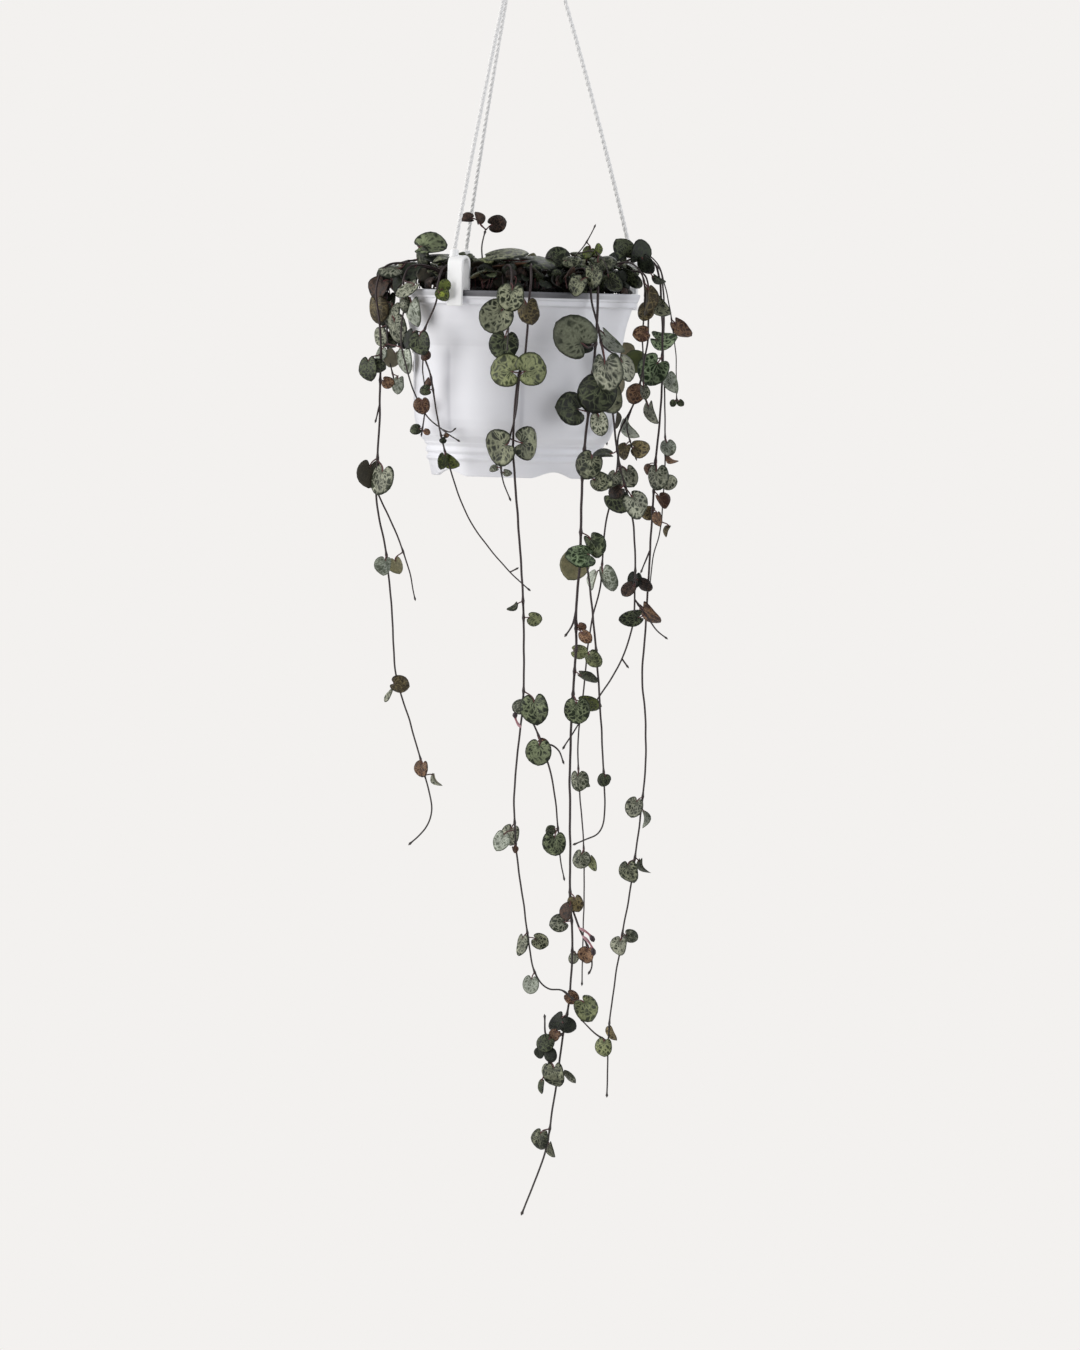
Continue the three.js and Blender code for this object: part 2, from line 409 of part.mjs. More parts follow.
// Vines and shoots placed one by one. A route is a list of [x, y, z] and a leaf is a list of
// [x, y, z, width, lean, turn, tilt], both in the hanging pot's world.
const PLACED_VINES = {
  vine_far_left: {
    root: [-46, -12],
    stem: 0.7,
    routes: [
      [
        [-58, -13, -199], [-67, -14, -198], [-74, -16, -200], [-78, -17, -210], [-76, -17, -232],
        [-76, -16, -255], [-77, -16, -290], [-78, -16, -318], [-73, -16, -348], [-70, -16, -380],
        [-68, -16, -409], [-61, -16, -433], [-55, -16, -454], [-50, -16, -478], [-53, -16, -487],
        [-62, -16, -496],
      ],
      [[-76, -16, -314], [-68, -14, -336], [-62, -14, -354], [-58, -14, -371]],
      [[-76, -16, -270], [-79, -16, -280]],
    ],
    leaves: [
      [-60, -17, -203, 13, -20, 25, 30], [-67, -17, -207, 12, -50, 60, 0],
      [-71, -17, -201, 14, -88, 62, 0], [-82, -19, -252, 13, 10, 40, 10], [-82, -13, -306, 15, -8, 160, 0],
      [-76, -20, -309, 17, -15, 46, 0], [-74, -20, -353, 10, -8, -25, 0], [-66, -19, -414, 10, 75, 20, 0],
    ],
  },
  vine_left_inner: {
    root: [-44, -22],
    stem: 0.6,
    routes: [
      [
        [-54, -25, -199], [-61, -29, -200], [-64, -31, -207], [-63, -31, -217], [-65, -30, -228],
        [-65, -30, -240], [-60, -30, -260], [-53, -34, -275], [-44, -39, -283], [-35, -46, -289],
      ],
      [[-53, -34, -275], [-55, -34, -287]],
      [[-44, -39, -282], [-40, -43, -284], [-37, -46, -282]],
    ],
    leaves: [[-62, -36, -212, 14, -56, 62, 0], [-60, -37, -223, 16, 3, 60, 0]],
  },
  vine_left_sweeping: {
    root: [-30, -36],
    stem: 0.6,
    routes: [
      [
        [-38, -46, -199], [-44, -54, -201], [-46, -57, -208], [-47, -55, -217], [-53, -51, -232],
        [-54, -48, -242], [-50, -46, -256], [-46, -46, -280], [-40, -46, -303], [-32, -46, -325],
        [-25, -46, -337], [-9, -46, -356], [1, -46, -365],
      ],
      [[-54, -48, -244], [-54, -44, -253], [-53, -43, -262]],
      [[-10, -46, -355], [-5, -48, -353]],
    ],
    leaves: [[-55, -54, -239, 13, 8, 30, 0], [-60, -46, -237, 11, -20, 50, 0]],
  },
  vine_centre: {
    root: [1, -53],
    stem: 0.75,
    routes: [
      [
        [1, -58, -199], [1, -64, -201], [1, -67, -208], [0, -67, -217], [-2, -65, -243],
        [-6, -63, -260], [-8, -60, -290], [-5, -60, -336], [-3, -60, -369], [-3, -60, -421],
        [-7, -60, -458], [-7, -60, -487], [-2, -60, -530], [4, -60, -561], [10, -60, -567],
        [17, -60, -568], [23, -60, -573],
      ],
      [[-5, -64, -253], [-8, -64, -280], [-14, -62, -299], [-13, -61, -309], [-9, -61, -319]],
      [[-2, -60, -423], [3, -58, -434], [12, -53, -462], [16, -49, -502], [18, -49, -513]],
      [[6, -56, -444], [11, -57, -443], [15, -57, -446], [18, -57, -453]],
    ],
    leaves: [
      [-13, -69, -252, 18, -106, 5, -25], [2, -70, -252, 18, 106, -5, -25],
      [-15, -66, -292, 20, -68, 5, -40], [0, -65, -290, 18, 83, -5, -40], [3, -64, -425, 16, 5, 22, 0],
      [-14, -63, -492, 11, -22, 38, 0], [-10, -56, -489, 11, -14, 30, 0], [-4, -63, -545, 12, -14, 62, 0],
      [1, -64, -565, 10, -6, 30, 0], [30, -64, -577, 14, 32, -28, 0], [5, -62, -447, 14, -5, 10, 0],
      [13, -51, -494, 13, 0, 15, 0],
    ],
  },
  vine_right_stout: {
    root: [30, -40],
    stem: 0.85,
    routes: [
      [
        [33, -48, -203], [35, -55, -204], [35, -59, -210], [35, -59, -216], [34, -57, -239],
        [30, -55, -274], [27, -55, -309], [26, -55, -347], [24, -55, -374], [24, -55, -392],
        [21, -55, -444], [21, -55, -494], [21, -55, -520], [22, -55, -540], [21, -55, -568],
        [17, -55, -594], [13, -55, -622], [8, -55, -651], [2, -55, -668], [-4, -55, -683],
      ],
      [[34, -57, -239], [30, -60, -241], [27, -62, -240]],
      [
        [26, -55, -342], [30, -57, -355], [32, -58, -372], [36, -58, -421], [38, -58, -458],
        [38, -58, -482], [35, -58, -488], [29, -58, -491], [22, -56, -494],
      ],
      [[24, -55, -374], [22, -57, -382], [18, -58, -388]],
      [[21, -55, -523], [25, -57, -535], [31, -58, -548], [32, -58, -556], [30, -58, -560]],
      [[17, -55, -590], [13, -57, -592], [9, -58, -591], [8, -58, -580]],
      [[10, -58, -592], [9, -58, -598], [11, -57, -606]],
    ],
    leaves: [
      [33, -62, -205, 13, 10, 45, 0], [25, -60, -210, 12, -30, 40, 0], [22, -66, -235, 23, -128, -15, 0],
      [34, -60, -265, 21, -35, 10, 0], [21, -56, -272, 18, -90, 10, 35], [36, -59, -280, 13, 8, 42, 0],
      [30, -59, -301, 15, -25, 20, 0], [37, -52, -310, 12, 65, 30, 0], [23, -52, -352, 16, -25, 168, 0],
      [26, -63, -346, 16, -78, 42, 20], [33, -57, -342, 14, 25, 40, 0], [32, -66, -400, 10, 30, 35, 0],
      [30, -59, -409, 12, 66, 66, 0], [24, -61, -426, 14, 0, 12, 0], [31, -51, -422, 13, 78, 50, 0],
      [15, -52, -534, 10, -80, 15, 0], [20, -62, -528, 10, -15, 50, 0], [15, -51, -585, 11, -40, 45, 0],
      [8, -63, -595, 10, -40, 25, 0], [13, -62, -611, 13, 8, 30, 0], [5, -59, -644, 11, -12, 35, 0],
    ],
  },
  vine_right_looped: {
    root: [24, -30],
    stem: 0.7,
    routes: [
      [
        [26, -40, -201], [29, -49, -202], [31, -53, -209], [32, -53, -218], [37, -50, -240],
        [42, -42, -270], [46, -36, -300], [52, -34, -324], [54, -34, -340], [54, -34, -369],
        [53, -34, -382], [47, -34, -401], [38, -36, -416], [30, -38, -427], [24, -42, -435],
        [17, -48, -446],
      ],
      [[37, -50, -240], [41, -48, -243], [45, -46, -245]],
      [[47, -34, -400], [51, -32, -405]],
      [[54, -34, -370], [60, -32, -378], [65, -31, -385], [71, -31, -390]],
    ],
    leaves: [
      [42, -46, -238, 17, 42, 66, 0], [39, -68, -254, 21, 4, 40, 0], [49, -40, -252, 15, 28, -50, 0],
      [41, -45, -267, 17, 12, 25, 0], [37, -41, -295, 12, -88, 68, 0], [46, -38, -319, 15, 55, 35, 0],
      [55, -43, -321, 15, 30, -30, 0], [51, -33, -307, 12, 20, 20, 0], [52, -37, -380, 13, -76, 50, 0],
      [61, -28, -378, 14, 38, 60, 0],
    ],
  },
  vine_right_thin: {
    root: [38, -12],
    stem: 0.6,
    routes: [
      [
        [46, -16, -203], [54, -21, -202], [59, -23, -204], [61, -24, -211], [61, -23, -228],
        [60, -22, -242], [54, -22, -269], [46, -22, -285], [45, -22, -303], [39, -22, -332],
        [36, -22, -365], [32, -22, -381], [28, -22, -415], [25, -22, -446], [28, -22, -497],
        [28, -22, -528], [27, -22, -568],
      ],
      [[52, -22, -273], [50, -24, -281], [52, -25, -290], [55, -26, -299]],
    ],
    leaves: [
      [53, -21, -206, 14, 50, 60, 0], [54, -26, -265, 11, -45, 25, 0], [51, -20, -283, 13, 28, 62, 0],
      [57, -31, -293, 10, 80, 15, 0], [33, -24, -360, 11, -16, 70, 0], [39, -27, -360, 15, 20, 56, 0],
      [25, -26, -463, 11, 0, 30, 0], [26, -26, -503, 10, -18, 20, 0],
    ],
  },
  vine_right_outer: {
    root: [42, 2],
    stem: 0.7,
    routes: [
      [
        [50, 2, -197], [58, 0, -195], [64, -4, -198], [67, -8, -207], [68, -10, -227],
        [68, -11, -264], [65, -11, -299], [62, -11, -346], [60, -11, -380], [58, -11, -408],
        [60, -11, -436], [59, -11, -464], [52, -11, -518], [47, -11, -547], [41, -11, -589],
        [40, -11, -626],
      ],
      [[40, -11, -597], [34, -12, -593], [26, -13, -585]],
      [[62, -11, -345], [57, -14, -357]],
    ],
    leaves: [
      [63, -18, -253, 17, -35, 15, 0], [54, -8, -249, 13, -75, 160, 0], [65, -15, -308, 14, -4, 40, 0],
      [54, -14, -477, 11, -22, 30, 0], [51, -15, -510, 12, 8, 32, 0], [46, -15, -548, 10, -12, 30, 0],
      [38, -15, -600, 10, -6, 25, 0],
    ],
  },
  vine_right_lower: {
    root: [40, 14],
    stem: 0.55,
    routes: [
      [
        [50, 15, -198], [61, 14, -197], [67, 10, -201], [69, 5, -212], [69, 4, -247],
        [70, 4, -288], [69, 4, -316], [67, 3, -337], [64, 2, -347], [62, 2, -366],
      ],
    ],
    leaves: [[69, 0, -238, 14, 78, 45, 0], [71, 0, -260, 12, 15, 52, 0]],
  },
  twig_right_tip: {
    root: [36, 26],
    stem: 0.45,
    routes: [
      [[48, 27, -196], [59, 26, -193], [66, 22, -198], [70, 19, -210], [75, 16, -240], [76, 16, -270]],
    ],
    leaves: [[78, 13, -232, 13, 45, 52, 0]],
  },
  shoot_upright: {
    root: [-24, -24],
    stem: 0.6,
    routes: [[[-24, -26, -197], [-24, -27, -190], [-22, -27, -181]]],
    leaves: [[-16, -27, -178, 10, 100, 20, 0]],
  },
  shoot_left_crown: {
    root: [-40, 10],
    stem: 0.6,
    routes: [
      [[-46, 6, -197], [-54, 2, -196], [-62, -2, -197], [-69, -6, -199], [-75, -7, -202]],
      [[-52, 4, -197], [-57, 2, -189]],
      [[-44, 7, -198], [-38, -1, -195], [-28, -9, -195]],
    ],
    leaves: [
      [-50, -2, -189, 18, 96, -50, 0], [-56, -4, -196, 14, 3, 62, 0], [-50, -6, -203, 13, 110, -45, 0],
      [-47, -6, -194, 15, 92, -80, 0],
    ],
  },
  shoot_left_hanging: {
    root: [-46, 2],
    stem: 0.6,
    routes: [
      [
        [-56, 0, -203], [-66, -3, -205], [-72, -6, -211], [-73, -9, -226], [-72, -9, -244],
        [-68, -9, -264],
      ],
    ],
    leaves: [
      [-77, -5, -211, 14, -30, 40, 0], [-78, -12, -222, 15, 5, 44, 0], [-68, -18, -232, 16, 10, 52, 0],
      [-71, -14, -224, 14, -15, 54, 0], [-76, -5, -236, 11, 5, 50, 0], [-70, -9, -247, 10, -20, 160, 0],
      [-64, -16, -248, 15, 5, 58, 0], [-68, -13, -260, 10, -15, 50, 0],
    ],
  },
  shoot_front_leaves: {
    root: [-13, -53],
    stem: 0.6,
    routes: [[[-11, -58, -199], [-9, -65, -201], [-9, -69, -208], [-10, -68, -220], [-11, -67, -243]]],
    leaves: [
      [-17, -73, -226, 18, -40, 10, 0], [-9, -77, -216, 15, -8, 15, 0], [-1, -71, -223, 14, 5, 35, 0],
      [-13, -64, -240, 16, -12, 10, 0],
    ],
  },
  shoot_centre_crown: {
    root: [-6, -26],
    stem: 0.6,
    routes: [
      [[-7, -31, -199], [-11, -37, -197], [-16, -43, -196]],
      [[-6, -28, -201], [3, -33, -197], [12, -39, -195]],
    ],
    leaves: [
      [-11, -46, -193, 24, 97, -76, 0], [-12, -35, -199, 20, -84, 72, 0],
      [-11, -43, -201, 22, -84, 112, 0], [5, -43, -197, 22, 86, -72, 0], [15, -33, -195, 13, 120, -20, 0],
      [3, -42, -203, 17, 80, -70, 0],
    ],
  },
  shoot_spiky: {
    root: [17, -25],
    stem: 0.5,
    routes: [
      [[20, -31, -198], [24, -37, -194], [29, -41, -188], [34, -44, -178]],
      [[25, -38, -193], [33, -45, -192], [38, -51, -197], [41, -54, -205]],
    ],
    leaves: [
      [39, -47, -197, 12, 100, -50, 0], [43, -59, -208, 12, 40, 45, 0], [22, -39, -197, 11, 90, -55, 0],
    ],
  },
  shoot_right_crown: {
    root: [34, -8],
    stem: 0.6,
    routes: [[[40, -8, -197], [46, -9, -195], [53, -10, -195], [60, -12, -199]]],
    leaves: [
      [48, -11, -191, 13, -150, 30, 0], [57, -12, -192, 14, 165, 40, 0], [60, -16, -199, 11, 30, 40, 0],
      [44, -10, -195, 13, -70, 66, 0],
    ],
  },
  shoot_right_hanging: {
    root: [38, -22],
    stem: 0.6,
    routes: [
      [
        [47, -26, -198], [54, -31, -199], [58, -36, -205], [59, -36, -215], [58, -34, -237],
        [59, -32, -264], [61, -32, -273],
      ],
    ],
    leaves: [
      [59, -36, -223, 10, -20, 30, 0], [61, -41, -217, 16, 0, 68, 0], [67, -32, -221, 12, 30, 45, 0],
      [62, -37, -275, 13, 16, 64, 0],
    ],
  },
};
// A point at an azimuth from +X and a radius from the pot's axis, in the world.
const POT_X = RIM_Z * Math.sin(HANG_TILT);
function roundPot(azimuth, radius, z) {
  return [POT_X + radius * Math.cos(azimuth), radius * Math.sin(azimuth), z];
}

// A face at right angles to a leaf's tip, as near as can be to the way it is wanted.
function facing(tip, wanted) {
  return wanted.addScaledVector(tip, -tip.dot(wanted)).normalize();
}

// A short shoot that lies on the mix, curling outwards with its leaves facing up, each tilted its own way.
function crownShoot([azimuth, start, lift]) {
  const turn = degrees(azimuth);
  const curl = start > 24 ? 0.04 : -0.05;
  const points = [0, 7, 14, 20].map((reach, k) =>
    roundPot(turn + curl * k, start + reach, lift + 2 * Math.sin(k)),
  );
  const leaves = points.slice(1).map((point, k) => {
    const heading = turn + curl * k + (k % 2 ? 0.8 : -0.8);
    const pitch = 0.3 * Math.sin(azimuth + 2 * k) - 0.15;
    const roll = 0.35 * Math.cos(2 * azimuth + 3 * k);
    const tip = new THREE.Vector3(Math.cos(heading), Math.sin(heading), pitch).normalize();
    const face = facing(tip, new THREE.Vector3(-roll * Math.sin(heading), roll * Math.cos(heading), 1));
    const width = 12 - k;
    const middle = vector(point).addScaledVector(tip, 0.62 * width);
    middle.z += 2.5;
    return { middle, width, tip, face };
  });
  const [x, y] = roundPot(turn, start - 6, 0);
  return { root: [x, y], stem: 0.55, routes: [points], leaves };
}

// A short vine that hangs down behind the pot. Its leaves grow in pairs that face outwards, and it wanders
// and turns a little from pair to pair.
function backVine([sideways, first, step, pairs]) {
  const azimuth = Math.PI / 2 - sideways / LIP_RADIUS;
  const points = [
    roundPot(azimuth, 50, -205),
    roundPot(azimuth, 60, -206),
    roundPot(azimuth, LIP_RADIUS + 4, -209),
    roundPot(azimuth, LIP_RADIUS + 6, -218),
  ];
  const leaves = [];
  for (let k = 0; k < pairs; k++) {
    const aside = azimuth + 0.04 * Math.sin(2 * k + sideways);
    const point = roundPot(aside, LIP_RADIUS + 3.5, first - step * k);
    points.push(point);
    const outwards = new THREE.Vector3(Math.cos(aside), Math.sin(aside), 0);
    const sidewards = new THREE.Vector3(-outwards.y, outwards.x, 0);
    for (const side of [-1, 1]) {
      const sway = Math.sin(3 * k + side + sideways);
      const tip = new THREE.Vector3(0, 0, -0.8).addScaledVector(sidewards, side * (0.6 + 0.3 * sway));
      tip.addScaledVector(outwards, 0.25 * sway).normalize();
      const face = facing(tip, outwards.clone().addScaledVector(sidewards, 0.5 * sway));
      const width = 13.5 - 6 * (k / pairs) + sway;
      const middle = vector(point).addScaledVector(sidewards, side * 0.6 * width);
      middle.addScaledVector(outwards, 2.5);
      middle.z -= (0.35 + 0.25 * sway) * width;
      leaves.push({ middle, width, tip, face });
    }
  }
  points.push(roundPot(azimuth, LIP_RADIUS + 3.5, first - step * pairs));
  const [x, y] = roundPot(azimuth, 42, 0);
  return { root: [x, y], stem: 0.6, routes: [points], leaves };
}

const vines = new Map();
for (const [name, vine] of Object.entries(PLACED_VINES)) {
  vines.set(name, { ...vine, leaves: vine.leaves.map(placedLeaf) });
}
CROWN_SHOOTS.forEach((shoot, i) => vines.set(`crown_shoot_${i + 1}`, crownShoot(shoot)));
BACK_VINES.forEach((vine, i) => vines.set(`vine_back_${i + 1}`, backVine(vine)));

const plastic = new THREE.MeshStandardMaterial({ color: 0xd9d9e0, roughness: 0.45, metalness: 0 });
const brightPlastic = new THREE.MeshStandardMaterial({ color: 0xf4f4f2, roughness: 0.4, metalness: 0 });
const cordWhite = new THREE.MeshStandardMaterial({ color: 0xefeee9, roughness: 0.7, metalness: 0 });
const darkMix = new THREE.MeshStandardMaterial({ color: 0x2b211b, roughness: 0.95, metalness: 0 });
const leafGreen = new THREE.MeshStandardMaterial({ color: 0x55664f, roughness: 0.5, metalness: 0 });

const hanging = new THREE.Group();
hanging.rotation.y = HANG_TILT;
hanging.updateMatrix();
const intoHanging = hanging.matrix.clone().invert();

function place(group, name, geometry, material) {
  const mesh = new THREE.Mesh(geometry, material);
  mesh.name = name;
  group.add(mesh);
  return mesh;
}

place(hanging, "pot", potGeometry(), plastic).position.z = RIM_Z;
place(hanging, "potting_mix", mixGeometry([...vines.values()], intoHanging), darkMix);
for (const [side, azimuth] of Object.entries(STRANDS)) {
  place(hanging, `rim_clip_${side}`, clipGeometry(azimuth), brightPlastic).position.z = RIM_Z;
  place(hanging, `hanger_strand_${side}`, strandGeometry(azimuth), cordWhite);
}
place(hanging, "hanging_hook", hookGeometry(), brightPlastic);

const plant = new THREE.Group();
for (const [name, vine] of vines) place(plant, name, vineGeometry(vine), leafGreen);

const stringOfHearts = new THREE.Group();
stringOfHearts.add(hanging, plant);
export default stringOfHearts;
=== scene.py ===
"""A string of hearts in a white hanging pot: the looks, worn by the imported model.

Lengths are in mm, in the model's own frame: +Z up, the front faces -Y, and the origin is the point inside the
hook's bow that bears on whatever holds it up.
"""
import math

import bpy
import numpy as np
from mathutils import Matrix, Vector


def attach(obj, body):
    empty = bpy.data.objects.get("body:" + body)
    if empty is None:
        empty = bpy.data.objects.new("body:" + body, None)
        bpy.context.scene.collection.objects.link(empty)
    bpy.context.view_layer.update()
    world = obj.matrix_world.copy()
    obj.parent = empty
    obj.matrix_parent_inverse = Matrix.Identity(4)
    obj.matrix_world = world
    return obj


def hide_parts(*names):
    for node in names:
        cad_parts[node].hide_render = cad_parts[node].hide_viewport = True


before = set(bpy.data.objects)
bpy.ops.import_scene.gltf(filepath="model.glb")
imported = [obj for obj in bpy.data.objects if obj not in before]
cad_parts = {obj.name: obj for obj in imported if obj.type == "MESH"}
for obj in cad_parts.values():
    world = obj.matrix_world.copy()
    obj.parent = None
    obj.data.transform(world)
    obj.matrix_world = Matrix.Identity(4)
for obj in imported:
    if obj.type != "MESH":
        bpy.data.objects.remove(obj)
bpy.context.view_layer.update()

MM = 0.001
MERGE = 0.002  # points nearer than this are one point
UP = np.array([0.0, 0.0, 1.0])
FULL_TURN = 2 * math.pi

# The holder, in the pot's own upright frame with heights from the top of the rim.
HANG_TILT = math.radians(1.5)
RIM_Z = -212.5
LIP_RADIUS = 62.7
COLLAR_BOTTOM = -27.5
BODY_BOTTOM = -74.5
FLOOR_TOP = -84.5
FLOOR_BOTTOM = -86.5
FOOT_BOTTOM = -95.0
FOOT_RADIUS = 42.0
LOBES = 8
LOBE_DEPTH = 1.6
LOBE_START = math.radians(4)
LOBE_FADE = 7.0  # height over which the lobes and the painted shade in their creases fade in below the collar
ARCH_AZIMUTHS = np.radians([30, 150, 232, 308])
ARCH_HALF_WIDTH = 12.5
ARCH_HEIGHT = 3.6
ARCH_TOP = -88.0  # the arches lift nothing above it
DRAIN_HOLES = 8
DRAIN_HOLE_RADIUS = 2.5
DRAIN_CIRCLE_RADIUS = 27.0
POT_COLUMNS = 320
POT_PROFILE = [
    (42.3, FLOOR_BOTTOM), (40.2, FOOT_BOTTOM), (FOOT_RADIUS, FOOT_BOTTOM), (42.3, -93.5), (43.4, -88.5),
    (43.8, -87.3), (44.9, -86.4), (44.9, -85.4), (44, -84.4), (44.1, -83.6), (45.4, -82.7), (45.4, -81.5),
    (44.7, -80.5), (44.9, -79.5), (46, -78.6), (46.2, -77.6), (49.4, BODY_BOTTOM), (51.2, -70.4), (52.2, -66),
    (52.9, -58), (53.2, -50), (53.5, -34), (53.6, -28.4), (53.9, COLLAR_BOTTOM), (54.5, -25), (55.3, -20),
    (56.4, -15), (58, -10), (58.7, -7.6), (60.8, -7.1), (60.9, -4.3), (61.6, -4.3), (LIP_RADIUS, -1.2),
    (LIP_RADIUS, -0.6), (62.2, 0), (60.2, 0), (59.6, -0.6), (57, -7), (52, COLLAR_BOTTOM), (51.7, -34.5),
    (51.4, -50), (50.3, -66), (47.6, -73), (43.8, -78), (42.4, FLOOR_TOP),
]

STRANDS = {"front_left": -120, "back_left": 120, "right": 22}  # azimuths in degrees from +X
CLIP_WIDTH = 8.7
CLIP_RADIUS = 60.6
CLIP_THICKNESS = 1.7
CLIP_BEND_RADIUS = 3.45  # middle of the strap's bend
CLIP_BEND_Z = 13.25
CLIP_OUTER_LEG_Z = -8.2
CLIP_INNER_LEG_Z = -3.0
BOSS_RADIUS = 2.2
BOSS_TOP = 20.5
BOSS_SIDEWAYS = -3.0
STRAND_DIAMETER = 2.4
STRAND_BOW = 1.5
STRAND_POINTS = 16
STRAND_SEAT_GAP = 0.7
STRAND_LAY = 6.2  # length in which its two plies go once round each other

# The hook, in its own upright frame with heights from the model's origin.
HOOK_INNER_RADIUS = 9.0
HOOK_ROD_RADIUS = 2.2
HOOK_END = math.radians(-10)
PLATE_RADIUS = 14.5
PLATE_TOP = -25.0
PLATE_BOTTOM = -28.0
SOCKET_RADIUS = 2.6
SOCKET_CIRCLE_RADIUS = 11.0
SOCKET_BOTTOM = -32.0

# The potting mix, in the pot's frame.
MIX_TOP = 4.0
DOME_RADIUS = 52.0
CRUMBS = 420

# The plant.
ROOT_DEPTHS = (-222, -212, -203)
STEM_SHARE = 0.8  # a stem's radius against its solid's
STALK_RADIUS = 0.34
TWIG_SHARE = 0.8  # a branch's radius against its stem's
LEAF_THICKNESS = 1.1
LEAF_COLUMNS = 26
HEART_MIDDLE = 0.46  # of a leaf 1 wide, from its upper end
NOTCH = 0.22  # about where its stalk joins it
UNDERGROWTH = 320  # small dark leaves
UNDERGROWTH_RADIUS = 56.0
# Each short shoot of the crown: degrees from +X, the radius at which it starts and its height.
CROWN_SHOOTS = [
    (10, 14, -198.5), (33, 34, -202), (54, 14, -198.5), (77, 34, -202), (98, 14, -198.5), (140, 34, -202),
    (161, 14, -198.5), (205, 5, -201), (336, 20, -203.5), (102, 36, -203.5), (6, 35, -201.5),
    (162, 35, -202.5), (247, 35, -204.5), (60, 36, -203.5), (126, 35, -203.5), (132, 12, -201.5),
    (223, 20, -198.5), (258, 12, -197), (329, 28, -197.5),
]
# Each vine behind the pot: how far round the rim it hangs, from the back towards +X, the height of its first
# leaves, the drop from one pair of leaves to the next and the number of pairs.
BACK_VINES = [(-3, -240, 16, 4), (22, -233, 21, 3), (48, -241, 17, 3), (-24, -236, 17, 4), (-44, -231, 19, 3)]
# Each vine's flowers as the foot and the head of each.
FLOWERS = {
    "vine_right_stout": [((25, -62, -536), (33, -64, -543)), ((27, -62, -540), (33, -64, -550))],
    "vine_centre": [((-4, -63, -434), (-7, -66, -426))],
}

# The studio. The eye, what it looks at and the middle of the lamps' light.
EYE = (5.6, -6000, -213)
AIM = (5.6, -40, -408)
LENS = 311.8
LIT_MIDDLE = (0, 0, -350)
STUDIO_FLOOR_Z = -950.0
STUDIO_FLOOR_RADIUS = 2000.0


def tint(red, green, blue):
    """A screen colour, 0 to 255 a channel, as linear light: a straight line for the darkest channels and the
    power 2.4 of a share for the others."""
    share = np.array([red, green, blue]) / 255
    return np.where(share <= 0.04045, share / 12.92, ((share + 0.055) / 1.055) ** 2.4)


# What each letter in a leaf's row means: the pale and the dark colour of its face, the colour of its reverse,
# and how much of the face is pale, from -1 to 1.
TONES = {
    letter: (tint(*pale), tint(*dark), tint(*reverse), cover)
    for letter, pale, dark, reverse, cover in [
        ("g", (150, 153, 126), (33, 39, 24), (122, 112, 82), 0.0),
        ("m", (136, 146, 111), (31, 40, 22), (96, 92, 62), -0.05),
        ("s", (165, 167, 147), (46, 52, 37), (138, 130, 106), 0.2),
        ("w", (177, 183, 169), (93, 100, 84), (150, 142, 120), 0.3),
        ("p", (144, 150, 107), (53, 60, 34), (134, 128, 94), 0.35),
        ("d", (99, 107, 78), (21, 26, 15), (62, 56, 42), -0.1),
        ("v", (154, 173, 134), (31, 48, 22), (78, 86, 40), -0.1),
        ("o", (140, 126, 87), (58, 50, 33), (118, 104, 72), 0.0),
        ("r", (150, 117, 89), (64, 41, 31), (134, 96, 72), 0.0),
        ("y", (101, 111, 52), (38, 46, 19), (96, 102, 48), 0.0),
        ("b", (101, 105, 87), (45, 49, 36), (90, 88, 70), 0.5),
        ("k", (80, 61, 50), (27, 20, 17), (68, 46, 38), 0.0),
        # n is near black: partly the leaves' own dark tone, partly painted shade for leaves deep in the
        # crown.
        ("n", (46, 53, 38), (12, 16, 10), (33, 31, 24), 0.0),
        ("l", (154, 167, 68), (83, 96, 33), (128, 134, 66), 0.5),
    ]
}

